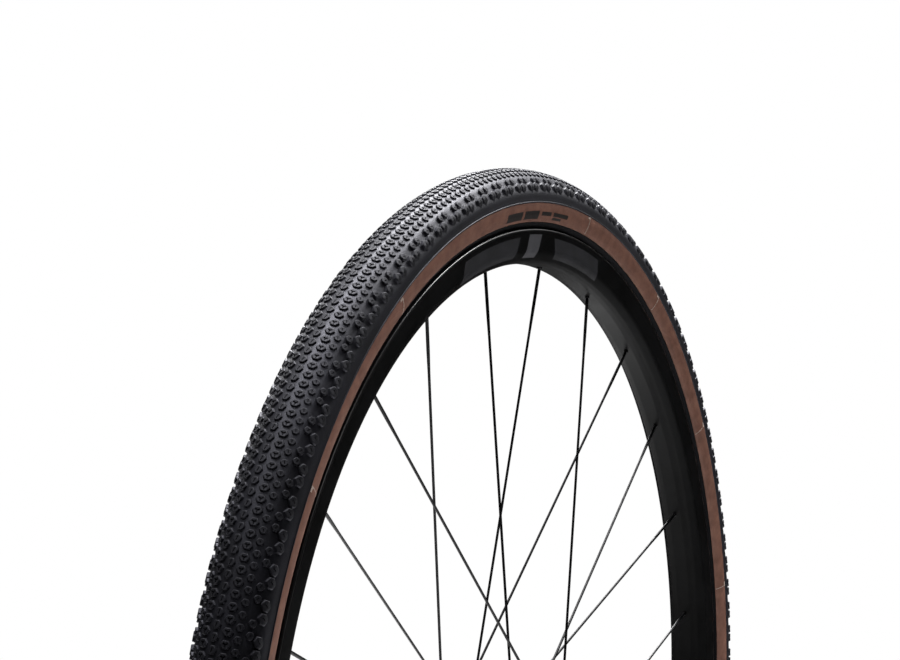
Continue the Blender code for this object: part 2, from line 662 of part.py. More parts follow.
def make_hub(axle, wheel, spokes):
    anodised = paint("hub_anodised", (0.015, 0.015, 0.016), 0.35, 1.0)
    steel = paint("bearing_steel", (0.55, 0.55, 0.56), 0.25, 1.0)
    seal_rubber = paint("seal_rubber", (0.03, 0.03, 0.03), 0.6)
    alloy = paint("axle_alloy", (0.35, 0.35, 0.36), 0.35, 1.0)
    shell = add_turned("hub_shell", hub_outline(), anodised, wheel)
    cut(shell, flange_drills(spokes), "flange_hole_cutter")
    end = BEARING_OUTER_FACE
    tube = [(AXLE_INNER_RADIUS, -end), (AXLE_RADIUS, -end)]
    tube += [(AXLE_RADIUS, end), (AXLE_INNER_RADIUS, end)]
    add_turned("axle_tube", tube, alloy, axle)
    for side, word in ((-1, "left"), (1, "right")):
        cap = mirrored(end_cap_outline(), side)
        add_turned("end_cap_" + word, cap, anodised, axle)
        make_bearing(side, word, axle, wheel, steel, seal_rubber)


# ---------------------------------------------------------------- valve
def add_valve_piece(name, outline, material, pivot):
    """A turned valve piece; outline heights are distances below the wheel centre."""
    lifted = [(radius, height + pivot.location.z) for radius, height in outline]
    shape = turn(lifted, VALVE_SIDES, place=DOWN_VALVE)
    return add_object(name, shape, material, pivot)


def sleeve(inner, outer, low, high):
    return [(inner, low), (outer, low), (outer, high), (inner, high)]


def make_valve(wheel):
    brass = paint("valve_brass", (0.60, 0.48, 0.25), 0.3, 1.0)
    black = paint("valve_black", (0.02, 0.02, 0.02), 0.4, 0.8)
    rubber = paint("valve_rubber", (0.03, 0.03, 0.03), 0.7)
    fixed = add_pivot("valve_axis", (0, 0, -VALVE_THREAD_END), wheel)
    hole = VALVE_STEM_RADIUS + CLEARANCE
    tape_top = CHANNEL_FLOOR + 2 * CLEARANCE + TAPE_THICKNESS
    head = tape_top + GROMMET_HEIGHT + CLEARANCE
    stem = [
        (VALVE_BORE_RADIUS, VALVE_TIP),
        (VALVE_TIP_RADIUS, VALVE_TIP),
        (VALVE_TIP_RADIUS, VALVE_THREAD_END),
        (VALVE_STEM_RADIUS, VALVE_THREAD_END),
        (VALVE_STEM_RADIUS, head),
        (VALVE_HEAD_RADIUS, head),
        (VALVE_HEAD_RADIUS, head + VALVE_HEAD_HEIGHT),
        (VALVE_BORE_RADIUS, head + VALVE_HEAD_HEIGHT),
    ]
    add_valve_piece("valve_stem", stem, brass, fixed)
    grommet = sleeve(hole, VALVE_HEAD_RADIUS, tape_top, tape_top + GROMMET_HEIGHT)
    add_valve_piece("valve_grommet", grommet, rubber, fixed)
    seal_low = VALVE_NUT_TOP + CLEARANCE
    seal = sleeve(hole, O_RING_RADIUS, seal_low, seal_low + O_RING_HEIGHT)
    add_valve_piece("valve_o_ring", seal, rubber, fixed)

    nut_pivot = add_pivot("valve_nut_axis", (0, 0, -VALVE_NUT_TOP), wheel)
    nut = sleeve(hole, LOCK_NUT_RADIUS, VALVE_NUT_TOP - LOCK_NUT_HEIGHT, VALVE_NUT_TOP)
    add_valve_piece("valve_lock_nut", nut, black, nut_pivot)

    core_pivot = add_pivot("valve_core_axis", (0, 0, -VALVE_TIP), wheel)
    pin = VALVE_BORE_RADIUS - CLEARANCE - SLACK
    pin_top = CORE_TOP - CORE_PIN_HEIGHT
    pin_end = VALVE_THREAD_END + CORE_PIN_DEPTH
    nut_base = VALVE_TIP - CLEARANCE
    core = [
        (0, pin_top),
        (pin, pin_top),
        (pin, CORE_TOP),
        (CORE_NUT_RADIUS, CORE_TOP),
        (CORE_NUT_RADIUS, nut_base),
        (pin, nut_base),
        (pin, pin_end),
        (0, pin_end),
    ]
    add_valve_piece("valve_core", core, brass, core_pivot)

    cap_pivot = add_pivot("valve_cap_axis", (0, 0, -VALVE_TIP), wheel)
    inside = VALVE_STEM_RADIUS + CLEARANCE
    roof = pin_top - CORE_LIFT - 2 * CLEARANCE
    mouth = VALVE_THREAD_END + CAP_SHELL_OVERLAP
    cap = [
        (0, roof - CAP_SHELL_WALL),
        (inside, roof - CAP_SHELL_WALL),
        (inside + CAP_SHELL_WALL, roof),
        (inside + CAP_SHELL_WALL, mouth),
        (inside, mouth),
        (inside, roof),
        (0, roof),
    ]
    add_valve_piece("valve_cap", cap, black, cap_pivot)


# ---------------------------------------------------------------- assembly
def build():
    for old in list(bpy.data.objects):
        bpy.data.objects.remove(old, do_unlink=True)
    axle = add_pivot("axle_frame")
    wheel = add_pivot("wheel_axis")
    spokes = [Spoke(index) for index in range(SPOKE_COUNT)]
    steel = paint("spoke_black", (0.015, 0.015, 0.016), 0.35, 0.9)
    make_tyre(wheel)
    make_rim(wheel, spokes)
    for spoke in spokes:
        make_spoke(spoke, steel, wheel)
    make_hub(axle, wheel, spokes)
    make_valve(wheel)


build()
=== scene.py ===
"""Looks of a front bicycle wheel with a mounted gravel tyre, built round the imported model.

Sections follow the wheel as it is put together: tread, sidewalls, bead parts, rim, spokes,
hub, valve, and last the floor, lights and camera.  Metres, wheel axis along Y, +Z up.
"""
from math import acos, cos, pi, radians, sin, sqrt, tan

import bpy
import numpy as np
from mathutils import Matrix, Vector


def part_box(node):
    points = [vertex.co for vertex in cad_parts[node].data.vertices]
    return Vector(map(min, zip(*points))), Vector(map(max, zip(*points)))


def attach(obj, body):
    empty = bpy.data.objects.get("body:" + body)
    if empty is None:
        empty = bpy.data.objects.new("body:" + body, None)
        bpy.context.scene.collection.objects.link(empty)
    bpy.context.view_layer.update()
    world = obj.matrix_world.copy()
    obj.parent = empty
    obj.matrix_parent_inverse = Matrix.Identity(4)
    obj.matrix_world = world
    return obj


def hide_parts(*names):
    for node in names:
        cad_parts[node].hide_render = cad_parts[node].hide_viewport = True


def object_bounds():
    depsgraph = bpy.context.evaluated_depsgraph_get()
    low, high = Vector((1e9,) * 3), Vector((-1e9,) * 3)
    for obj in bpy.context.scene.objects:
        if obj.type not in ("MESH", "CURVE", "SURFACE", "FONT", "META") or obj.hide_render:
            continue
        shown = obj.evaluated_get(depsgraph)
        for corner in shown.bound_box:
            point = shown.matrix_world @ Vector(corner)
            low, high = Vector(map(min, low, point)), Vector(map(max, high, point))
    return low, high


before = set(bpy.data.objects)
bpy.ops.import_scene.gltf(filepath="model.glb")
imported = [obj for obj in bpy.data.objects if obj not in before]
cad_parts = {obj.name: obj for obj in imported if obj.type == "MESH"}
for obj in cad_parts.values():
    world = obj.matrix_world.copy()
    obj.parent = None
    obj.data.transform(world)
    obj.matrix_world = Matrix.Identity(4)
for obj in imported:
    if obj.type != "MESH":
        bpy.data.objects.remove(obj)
cad_low, cad_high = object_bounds()

# ============================================================ tread cap
# The outer band of black carbon-filled rubber, moulded in one piece with its blocks.  A
# smooth base follows the round section, and five sorts of hexagonal block stand on it,
# with a duller frosted top.  The height of the block tops comes from the imported tread.
MM = 0.001
TREAD_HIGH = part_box("tread_cap")[1]
BLOCK_HEIGHT = 2.3 * MM                         # block tops above the round section
BASE_RISE = 1.4 * MM                            # rubber between the blocks, above it too
SHOULDER_RISE = 0.8 * MM                        # the same between the shoulder blocks
SECTION_RADIUS = 18.9 * MM                      # round section without its blocks
SECTION_CENTRE = TREAD_HIGH.z - BLOCK_HEIGHT - SECTION_RADIUS
TREAD_EDGE = 88.0                               # degrees round the section from the crown
BLOCK_PITCHES = 366                             # blocks in each full row
REPEAT = 3                                      # the shoulder rows repeat over three pitches
PITCH = 360.0 / BLOCK_PITCHES
PATTERN_START = 1.695                           # degrees, middle of a pair of edge blocks
FROSTED_FACE = 36                               # first face of a block's frosted top
SHOULDER = (37.0, 53.0)                         # section angles where the base gets thinner
BASE_FADE = (66.0, 84.0)                        # and where it fades out
TREAD_BACK = 0.45 * MM                          # depth of the band's hidden inner face
RING_STEPS = 366


def tyre_point(around, across, depth=0.0):
    """A point on the tyre: degrees round the wheel, degrees round the section, depth."""
    reach = SECTION_RADIUS - depth
    radius = SECTION_CENTRE + reach * np.cos(np.radians(across))
    turn = np.radians(around)
    side = reach * np.sin(np.radians(across))
    return np.stack([radius * np.cos(turn), side + 0 * turn, radius * np.sin(turn)], -1)


def add_piece(name, points, faces, material, body="wheel", sharp=32):
    """A mesh piece that rides on a body, smooth except across sharp edges."""
    mesh = bpy.data.meshes.new(name)
    mesh.from_pydata([tuple(p) for p in points], [], faces)
    mesh.update()
    mesh.shade_smooth()
    mesh.set_sharp_from_angle(angle=radians(sharp))
    mesh.materials.append(material)
    piece = bpy.data.objects.new(name, mesh)
    bpy.context.scene.collection.objects.link(piece)
    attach(piece, body)
    return piece


def linear(hex_colour):
    """An sRGB hex colour as linear RGBA."""
    levels = [int(hex_colour[i:i + 2], 16) / 255 for i in (1, 3, 5)]
    curve = [v / 12.92 if v <= 0.04045 else ((v + 0.055) / 1.055) ** 2.4 for v in levels]
    return (*curve, 1.0)


def add(tree, kind, inputs, **settings):
    """Add one shader node: settings, then input values or links from other sockets."""
    made = tree.nodes.new("ShaderNode" + kind)
    for key, value in settings.items():
        setattr(made, key, value)
    for key, value in inputs.items():
        if isinstance(value, bpy.types.NodeSocket):
            tree.links.new(value, made.inputs[key])
        else:
            made.inputs[key].default_value = value
    return made


def start_material(name, roughness, metallic=0.0, **sockets):
    """A Principled material with its plain numbers set on the shader's own sockets."""
    material = bpy.data.materials.new(name)
    material.use_nodes = True
    tree = material.node_tree
    shader = tree.nodes["Principled BSDF"]
    shader.inputs["Roughness"].default_value = roughness
    shader.inputs["Metallic"].default_value = metallic
    for key, value in sockets.items():
        shader.inputs[key.replace("_", " ")].default_value = value
    place = tree.nodes.new("ShaderNodeTexCoord").outputs["Object"]
    return material, tree, shader, place


def two_tone(tree, mask, dark, light):
    """Mix two hex colours by a 0 to 1 mask."""
    mix = add(tree, "Mix", {0: mask, 6: linear(dark), 7: linear(light)}, data_type="RGBA")
    return mix.outputs[2]


def noise(tree, place, size, detail=3.0, low=0.35, high=0.65):
    """Soft noise with features of a given size in metres, stretched to 0..1."""
    made = add(tree, "TexNoise", {"Vector": place, "Scale": 1 / size, "Detail": detail})
    spread = add(tree, "MapRange", {"Value": made.outputs[0], "From Min": low,
                                    "From Max": high})
    return spread.outputs[0]


def bump(tree, shader, height, distance, strength=1.0):
    made = add(tree, "Bump", {"Height": height, "Distance": distance,
                              "Strength": strength})
    tree.links.new(made.outputs[0], shader.inputs["Normal"])
    return made


def moulded_rubber(name, dark, light, low, high, grain, gloss=0.5):
    """Moulded tyre rubber: near black, with faint bloom and a fine satin grain.

    The grain of the real mould is about 0.1 mm; it is drawn coarser, so that it shows."""
    material, tree, shader, place = start_material(name, low, Specular_IOR_Level=gloss,
                                                   Specular_Tint=linear("#e2e2f4"))
    bloom = noise(tree, place, 22 * MM, 5.0)
    tree.links.new(two_tone(tree, bloom, dark, light), shader.inputs["Base Color"])
    fine = noise(tree, place, grain, 2.0)
    rough = add(tree, "MapRange", {"Value": fine, "To Min": low, "To Max": high})
    tree.links.new(rough.outputs[0], shader.inputs["Roughness"])
    bump(tree, shader, fine, 0.05 * MM, 0.35)
    return material


tread_rubber = moulded_rubber("moulded_tread_rubber", "#17171a", "#1f1f24", 0.40, 0.52,
                              0.5 * MM)
frosted_rubber = moulded_rubber("frosted_block_rubber", "#131315", "#1d1d21", 0.52, 0.66,
                                0.9 * MM, 0.38)


def eased(across, start, end):
    """0 before the start angle, 1 after the end angle, smooth between them."""
    share = np.clip((np.abs(across) - start) / (end - start), 0, 1)
    return share * share * (3 - 2 * share)


def base_rise(across):
    """Thickness of the rubber between the blocks: less at the shoulder, none at the edge."""
    shoulder = BASE_RISE + (SHOULDER_RISE - BASE_RISE) * eased(across, *SHOULDER)
    return shoulder * (1 - eased(across, *BASE_FADE))


def hexagon(count, roundness):
    """Radius factors of a hexagon with flat sides along the wheel, partly rounded."""
    angles = np.arange(count) * 360.0 / count
    flat = cos(radians(30)) / np.cos(np.radians((angles + 30) % 60 - 30))
    return flat * (1 - roundness) + roundness * 0.95


def slit_outline(count, length, width, lean):
    """A narrow sipe lying near the direction of travel."""
    angle = np.radians(np.arange(count) * 360.0 / count - lean)
    run = length / 2 * np.cos(angle)
    rise = width / 2 * np.clip(np.sin(angle) * 2.5, -1, 1)
    turned = radians(lean)
    return np.stack([run * cos(turned) - rise * sin(turned),
                     run * sin(turned) + rise * cos(turned)], -1)


def star_outline(count, length, width):
    """A sipe with three arms, for the blocks beside the centre row."""
    points = []
    for k in range(count):
        arm = round(k / 4) * 4 * 360.0 / count
        offset = k * 360.0 / count - arm
        if offset == 0:
            along, aside = length / 2, 0.0
        elif abs(offset) < 45:
            along, aside = length * 0.40, width / 2 * np.sign(offset)
        else:
            along, aside = width * 0.30, width * 0.52 * np.sign(offset)
        a = radians(arm)
        points.append((along * cos(a) - aside * sin(a), along * sin(a) + aside * cos(a)))
    return np.array(points)


def make_block(length, width, sipe, roundness=0.25, ramp=0.0, base=BASE_RISE, count=12):
    """One tread block as (along, across, height) points and faces, open underneath.

    Stacked outlines give the fillet at the foot, drafted sides, a soft top edge and the
    sipe.  A ramp lowers the block towards its outer side."""
    shape = hexagon(count, roundness)
    angle = np.radians(np.arange(count) * 360.0 / count)
    outline = np.stack([length / 2 * shape * np.cos(angle),
                        width / 2 * shape * np.sin(angle)], -1) / cos(radians(30))
    foot = base / BLOCK_HEIGHT
    levels = [(1.10, foot - 0.12), (1.06, foot + 0.02), (0.99, foot + 0.13), (0.92, 0.90)]
    levels += [(0.87, 0.97), (0.80, 1.0), (0.66, 0.985)]
    rings = [np.column_stack([outline * grow, np.full(count, BLOCK_HEIGHT * rise)])
             for grow, rise in levels]
    rings.append(np.column_stack([sipe, np.full(count, BLOCK_HEIGHT * 0.97)]))
    rings.append(np.column_stack([sipe * 0.92, np.full(count, BLOCK_HEIGHT * 0.66)]))
    points = np.concatenate(rings)
    above = np.clip(points[:, 2] - base, 0, None)
    points[:, 2] -= above * ramp * np.clip(2 * points[:, 1] / width, 0, 1)
    faces = []
    for level in range(len(rings) - 1):
        for k in range(count):
            a, b = level * count + k, level * count + (k + 1) % count
            faces.append((a, a + count, b + count, b))
    faces.append(tuple(range((len(rings) - 1) * count, len(rings) * count))[::-1])
    return points, faces


def block_rows():
    """(section angle, pitches round the wheel, block) for one repeat of the pattern."""
    centre = make_block(4.3 * MM, 4.3 * MM, slit_outline(12, 2.6 * MM, 0.5 * MM, 15))
    inner = make_block(4.2 * MM, 5.0 * MM, star_outline(12, 3.0 * MM, 0.8 * MM), 0.12)
    middle = make_block(3.6 * MM, 3.8 * MM, slit_outline(12, 1.8 * MM, 0.45 * MM, 15))
    outer = make_block(3.9 * MM, 4.2 * MM, slit_outline(12, 1.8 * MM, 0.45 * MM, -30),
                       0.25, 0.3, SHOULDER_RISE)
    edge = make_block(5.6 * MM, 5.8 * MM, slit_outline(12, 2.6 * MM, 0.5 * MM, 60),
                      0.15, 0.95, SHOULDER_RISE)
    rows = [(0.0, pitch, centre) for pitch in range(REPEAT)]
    for side in (-1, 1):
        rows += [(side * 17.0, pitch + 0.5, inner) for pitch in range(REPEAT)]
        rows += [(side * 32.0, pitch, middle) for pitch in range(REPEAT)]
        rows += [(side * 47.0, shift, outer) for shift in (-0.5, 0.5)]
        rows += [(side * 61.0, shift, edge) for shift in (0.85, 1.95)]
    return rows


def tread_pattern():
    """All blocks, placed on the tyre and repeated round the wheel."""
    patch_points, patch_faces, finishes = [], [], []
    count = 0
    crown = SECTION_CENTRE + SECTION_RADIUS
    for across, pitch, (points, faces) in block_rows():
        mirror = -1 if across < 0 else 1
        around = PATTERN_START + pitch * PITCH + np.degrees(points[:, 0] / crown)
        bend = across + mirror * np.degrees(points[:, 1] / (SECTION_RADIUS + BLOCK_HEIGHT))
        patch_points.append(tyre_point(around, bend, -points[:, 2]))
        order = 1 if mirror > 0 else -1
        patch_faces += [tuple(i + count for i in face)[::order] for face in faces]
        finishes += [int(i >= FROSTED_FACE) for i in range(len(faces))]
        count += len(points)
    patch = np.concatenate(patch_points)
    all_points, all_faces = [], []
    for index in range(BLOCK_PITCHES // REPEAT):
        angle = radians(index * REPEAT * PITCH)
        x = patch[:, 0] * cos(angle) - patch[:, 2] * sin(angle)
        z = patch[:, 0] * sin(angle) + patch[:, 2] * cos(angle)
        all_points.append(np.column_stack([x, patch[:, 1], z]))
        shift = index * count
        all_faces += [tuple(i + shift for i in face) for face in patch_faces]
    return np.concatenate(all_points), all_faces, finishes * (BLOCK_PITCHES // REPEAT)


def ring_faces(profile_count, steps):
    """Quads of a closed outline carried once round the wheel."""
    faces = []
    for step in range(steps):
        this, following = step * profile_count, (step + 1) % steps * profile_count
        for k in range(profile_count):
            after = (k + 1) % profile_count
            faces.append((this + k, this + after, following + after, following + k))
    return faces


def ring_points(profile, steps):
    """A closed (radius, y) outline carried once round the wheel."""
    profile = np.array(profile)
    turn = 2 * pi * np.arange(steps) / steps
    x = np.outer(np.cos(turn), profile[:, 0])
    z = np.outer(np.sin(turn), profile[:, 0])
    y = np.tile(profile[:, 1], (steps, 1))
    return np.stack([x, y, z], -1).reshape(-1, 3)


def outward(profile):
    """The outline in the order that makes its ring's faces point outwards."""
    radius, y = np.array(profile).T
    area = np.sum(radius * np.roll(y, -1) - np.roll(radius, -1) * y)
    return list(profile) if area > 0 else list(profile)[::-1]


def add_ring(name, profile, material, body="wheel", steps=RING_STEPS, sharp=32):
    profile = outward(profile)
    points = ring_points(profile, steps)
    return add_piece(name, points, ring_faces(len(profile), steps), material, body, sharp)


def section_band(start, end, depth, step=4.0):
    """(radius, y) points along the round section at one depth."""
    count = max(2, int(round(abs(end - start) / step)) + 1)
    angles = np.radians(np.linspace(start, end, count))
    reach = SECTION_RADIUS - depth
    return [(SECTION_CENTRE + reach * cos(a), reach * sin(a)) for a in angles]


def add_tread():
    angles = np.linspace(-TREAD_EDGE, TREAD_EDGE, 59)
    outer = [tuple(tyre_point(0, a, -base_rise(a))[:2]) for a in angles]
    base = outward(outer + section_band(TREAD_EDGE, -TREAD_EDGE, TREAD_BACK))
    points = ring_points(base, RING_STEPS)
    faces = ring_faces(len(base), RING_STEPS)
    block_points, block_faces, finishes = tread_pattern()
    finishes = [0] * len(faces) + finishes
    faces += [tuple(i + len(points) for i in face) for face in block_faces]
    piece = add_piece("tread_rubber", np.concatenate([points, block_points]), faces,
                      tread_rubber, sharp=38)
    piece.data.materials.append(frosted_rubber)
    piece.data.polygons.foreach_set("material_index", finishes)
    return piece


tread = add_tread()
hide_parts("tread_cap")

# ============================================================ sidewalls
# Thin brown rubber skins over the casing cords.  The cords print through as a fine
# diagonal weave, and a thin bead of rubber closes the joint with the tread.
SIDEWALL_END = 125.0
SKIN = 0.9 * MM
WEAVE = 1.1 * MM        # casing cords lie 0.2 mm apart; drawn coarser, so that they show
RUB_MARK = 6.25 * MM
ARC_RADIUS = 0.326      # middle of the sidewall, where arc lengths are true


def wheel_polar(tree, place):
    """Millimetre-true coordinates on the wheel: radius, and arc at the sidewall."""
    parts = add(tree, "SeparateXYZ", {"Vector": place})
    square_x = add(tree, "Math", {0: parts.outputs[0], 1: 2.0}, operation="POWER")
    square_z = add(tree, "Math", {0: parts.outputs[2], 1: 2.0}, operation="POWER")
    total = add(tree, "Math", {0: square_x.outputs[0], 1: square_z.outputs[0]})
    radius = add(tree, "Math", {0: total.outputs[0]}, operation="SQRT")
    angle = add(tree, "Math", {0: parts.outputs[2], 1: parts.outputs[0]},
                operation="ARCTAN2")
    arc = add(tree, "Math", {0: angle.outputs[0], 1: ARC_RADIUS}, operation="MULTIPLY")
    return radius.outputs[0], arc.outputs[0]


def cord_wave(tree, radius, arc, lean, pitch):
    """Parallel cords that lean across the sidewall."""
    leaned = add(tree, "Math", {0: radius, 1: lean}, operation="MULTIPLY")
    total = add(tree, "Math", {0: arc, 1: leaned.outputs[0]})
    phase = add(tree, "Math", {0: total.outputs[0], 1: 2 * pi / pitch},
                operation="MULTIPLY")
    return add(tree, "Math", {0: phase.outputs[0]}, operation="SINE").outputs[0]


def tan_rubber():
    """Brown gum rubber: warm, slightly mottled and matt, with faint rub marks."""
    material, tree, shader, place = start_material("tan_gum_rubber", 0.62)
    radius, arc = wheel_polar(tree, place)
    mottle = noise(tree, place, 9 * MM, 6.0)
    skin = two_tone(tree, mottle, "#784f3f", "#8b604f")
    streaks = add(tree, "CombineXYZ", {0: arc, 1: radius})
    rub = add(tree, "TexNoise", {"Vector": streaks.outputs[0], "Scale": 1 / RUB_MARK,
                                 "Detail": 6.0, "Roughness": 0.7})
    soft = add(tree, "MapRange", {"Value": rub.outputs[0], "From Min": 0.3,
                                  "From Max": 0.75, "To Min": 0.78, "To Max": 1.12})
    shaded = add(tree, "Mix", {0: 1.0, 6: skin, 7: soft.outputs[0]}, data_type="RGBA",
                 blend_type="MULTIPLY")
    tree.links.new(shaded.outputs[2], shader.inputs["Base Color"])
    one = cord_wave(tree, radius, arc, 1.0, WEAVE)
    other = cord_wave(tree, radius, arc, -1.0, WEAVE)
    weave = add(tree, "Math", {0: one, 1: other}, operation="MAXIMUM")
    relief = add(tree, "Math", {0: weave.outputs[0], 1: rub.outputs[0]})
    bump(tree, shader, relief.outputs[0], 0.04 * MM, 0.5)
    return material


def add_sidewall(side, word):
    outer = section_band(TREAD_EDGE + 0.6, SIDEWALL_END - 0.3, 0.0, 3.0)
    inner = section_band(SIDEWALL_END - 0.3, TREAD_EDGE + 0.6, SKIN, 3.0)
    profile = [(radius, side * y) for radius, y in outer + inner]
    piece = add_ring("sidewall_skin_" + word, profile, brown)
    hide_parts("sidewall_" + word)


brown = tan_rubber()
add_sidewall(-1, "left")
add_sidewall(1, "right")


# ------------------------------------------------------------ joint bead
# The narrow black lip where the tread rubber overlaps the brown skin.
def add_joint_bead(side, word):
    across = np.radians(np.arange(0, 360, 45))
    middle = section_band(TREAD_EDGE - 0.9, TREAD_EDGE, 0.0)[0]
    profile = [(middle[0] + 0.45 * MM * cos(a), side * (middle[1] + 0.32 * MM * sin(a)))
               for a in across]
    piece = add_ring("tread_lip_" + word, profile, tread_rubber, sharp=80)


add_joint_bead(-1, "left")
add_joint_bead(1, "right")


# ------------------------------------------------------------ sidewall print and ribs
# A hot-stamped dark label, here five plain bars, and pale moulded ribs that cross the
# sidewall every 22.5 degrees.
def patch(points_at, arounds, acrosses, rise):
    """A thin closed slab over a grid of (around, across) places."""
    rows, columns = len(acrosses), len(arounds)
    around, across = np.meshgrid(arounds, acrosses)
    top = points_at(around, across, -rise).reshape(-1, 3)
    low = points_at(around, across, 0.1 * MM).reshape(-1, 3)
    points = np.concatenate([top, low])
    base = rows * columns
    faces = []
    for r in range(rows - 1):
        for c in range(columns - 1):
            a = r * columns + c
            faces.append((a, a + 1, a + columns + 1, a + columns))
            faces.append((base + a, base + a + columns, base + a + columns + 1,
                          base + a + 1))
    rim = [c for c in range(columns)]
    rim += [r * columns + columns - 1 for r in range(1, rows)]
    rim += [(rows - 1) * columns + c for c in range(columns - 2, -1, -1)]
    rim += [r * columns for r in range(rows - 2, 0, -1)]
    for a, b in zip(rim, rim[1:] + rim[:1]):
        faces.append((b, a, base + a, base + b))
    return points, faces


def join(shapes):
    """Several (points, faces) shapes as one."""
    points, faces, count = [], [], 0
    for shape_points, shape_faces in shapes:
        points.append(shape_points)
        faces += [tuple(i + count for i in face) for face in shape_faces]
        count += len(shape_points)
    return np.concatenate(points), faces


def flip_for(side, shape):
    """Faces point outwards on either side of the wheel."""
    points, faces = shape
    return (points, faces) if side > 0 else (points, [face[::-1] for face in faces])


def stamped_ink():
    """Dark hot-stamp film: thin, slightly broken where it sits on the cords."""
    material, tree, shader, place = start_material("stamped_film", 0.55)
    worn = noise(tree, place, 1.2 * MM, 4.0, 0.45, 0.7)
    tree.links.new(two_tone(tree, worn, "#171210", "#2c221e"), shader.inputs["Base Color"])
    bump(tree, shader, worn, 0.03 * MM, 0.4)
    return material


def pale_rib_rubber():
    """The same gum rubber, coloured pale on a raised edge."""
    material, tree, shader, place = start_material("pale_gum_rubber", 0.6)
    worn = noise(tree, place, 1.0 * MM, 3.0)
    tree.links.new(two_tone(tree, worn, "#a58d80", "#d2c0b4"), shader.inputs["Base Color"])
    bump(tree, shader, worn, 0.05 * MM, 0.4)
    return material


LABEL_BARS = [(98.0, 94.4, 103.0, 119.0), (93.8, 90.3, 103.0, 119.0),
              (89.6, 87.2, 104.5, 112.0), (86.6, 82.9, 104.5, 112.0),
              (86.6, 84.4, 114.0, 119.0)]
RIB_SPACING = 22.5
RIB_START = 9.75
RIB_UNDER_LABEL = 4                             # left out, its place is taken by the label


def add_print(side, word, film, rib_rubber):
    bars, ribs = [], []
    for start, end, top, foot in LABEL_BARS:
        arounds = np.linspace(end, start, 9)
        acrosses = np.linspace(top, foot, 6)
        bars.append(flip_for(side, patch(tyre_point, arounds, side * acrosses, 0.06 * MM)))
    for index in range(int(360 / RIB_SPACING)):
        if index == RIB_UNDER_LABEL:
            continue
        middle = RIB_START + index * RIB_SPACING
        acrosses = np.linspace(TREAD_EDGE + 1.5, SIDEWALL_END - 2, 10)
        arounds = middle + np.array([-0.04, 0.04])
        ribs.append(flip_for(side, patch(tyre_point, arounds, side * acrosses, 0.16 * MM)))
        ticks = middle + np.array([-0.06, 0.5])
        ribs.append(flip_for(side, patch(tyre_point, ticks, side * acrosses[:2], 0.2 * MM)))
    label = add_piece("sidewall_label_" + word, *join(bars), film)
    marks = add_piece("sidewall_ribs_" + word, *join(ribs), rib_rubber)


film = stamped_ink()
rib_rubber = pale_rib_rubber()
add_print(-1, "left", film, rib_rubber)
add_print(1, "right", film, rib_rubber)

# ============================================================ casing, breaker and beads
# Inside the rubber: a woven nylon casing from bead to bead, an aramid breaker under the
# tread, a black chafer strip where the tyre rubs on the rim, and an aramid core in each
# bead.  Only the chafers show, as the black band between sidewall and rim; their rubber
# is coloured darker than the tread's, as painted shade for the gap at the rim.
GAP = 0.3 * MM
RIM_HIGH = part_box("rim_shell")[1]
RIM_TOP = RIM_HIGH.z
RIM_HALF_WIDTH = RIM_HIGH.y
CHAFER_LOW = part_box("chafer_right")[0]
BEAD_SEAT = RIM_TOP - 5.5 * MM
BEAD_HALF_WIDTH = RIM_HALF_WIDTH - 2.7 * MM - 0.5 * MM
LEAVES_RIM = BEAD_HALF_WIDTH + 0.95 * MM        # where the casing clears the rim flange
HOOK_ANGLE = acos(LEAVES_RIM / SECTION_RADIUS)
FLARE = 0.95 * MM / (1 - cos(HOOK_ANGLE))
FLARE_END = SECTION_CENTRE - SECTION_RADIUS * sin(HOOK_ANGLE) - FLARE * sin(HOOK_ANGLE)


def hook_band(depth, steps=6):
    """The casing as it flares from the round section down into the rim."""
    reach = FLARE + depth
    centre = BEAD_HALF_WIDTH + FLARE
    angles = np.linspace(HOOK_ANGLE, 0, steps)
    return [(FLARE_END + reach * sin(a), centre - reach * cos(a)) for a in angles]


def casing_half(depth, start, step=5.0):
    return section_band(start, 90 + np.degrees(HOOK_ANGLE), depth, step)[:-1] + hook_band(depth)


def add_chafer(side, word):
    toe = CHAFER_LOW.y
    seat = BEAD_SEAT + GAP
    core_top = seat + SKIN + 2 * GAP + 1.8 * MM
    outer = casing_half(0.0, SIDEWALL_END + 0.3) + [(seat, BEAD_HALF_WIDTH), (seat, toe)]
    inner = [(core_top, toe), (core_top, toe + SKIN), (seat + SKIN, toe + SKIN)]
    inner += [(seat + SKIN, BEAD_HALF_WIDTH - SKIN)]
    inner += casing_half(SKIN, SIDEWALL_END + 0.3)[::-1]
    profile = [(radius, side * y) for radius, y in outer + inner]
    piece = add_ring("chafer_band_" + word, profile, chafer_rubber_and_gap_shade, steps=180)
    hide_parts("chafer_" + word)


def woven(name, dark, light, pitch):
    """Rubber-coated cord cloth: two crossing sets of cords, matt."""
    material, tree, shader, place = start_material(name, 0.8)
    radius, arc = wheel_polar(tree, place)
    one = cord_wave(tree, radius, arc, 1.0, pitch)
    other = cord_wave(tree, radius, arc, -1.0, pitch)
    weave = add(tree, "Math", {0: one, 1: other}, operation="MAXIMUM")
    mask = add(tree, "MapRange", {"Value": weave.outputs[0], "From Min": -1.0})
    tree.links.new(two_tone(tree, mask.outputs[0], dark, light),
                   shader.inputs["Base Color"])
    bump(tree, shader, weave.outputs[0], 0.1 * MM, 0.6)
    return material


def add_casing():
    top = SKIN + GAP
    bottom = top + 0.7 * MM
    foot = BEAD_SEAT + GAP + SKIN + 2 * GAP + 1.8 * MM
    outer = casing_half(top, 0.0, 8.0)
    outer.append((foot, outer[-1][1]))
    inner = casing_half(bottom, 0.0, 8.0)
    inner.append((foot, inner[-1][1]))
    right = outer + inner[::-1]
    left = [(radius, -y) for radius, y in outer[1:] + inner[:0:-1]][::-1]
    piece = add_ring("casing_cloth", right + left, casing_cloth, steps=180)
    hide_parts("casing_ply")


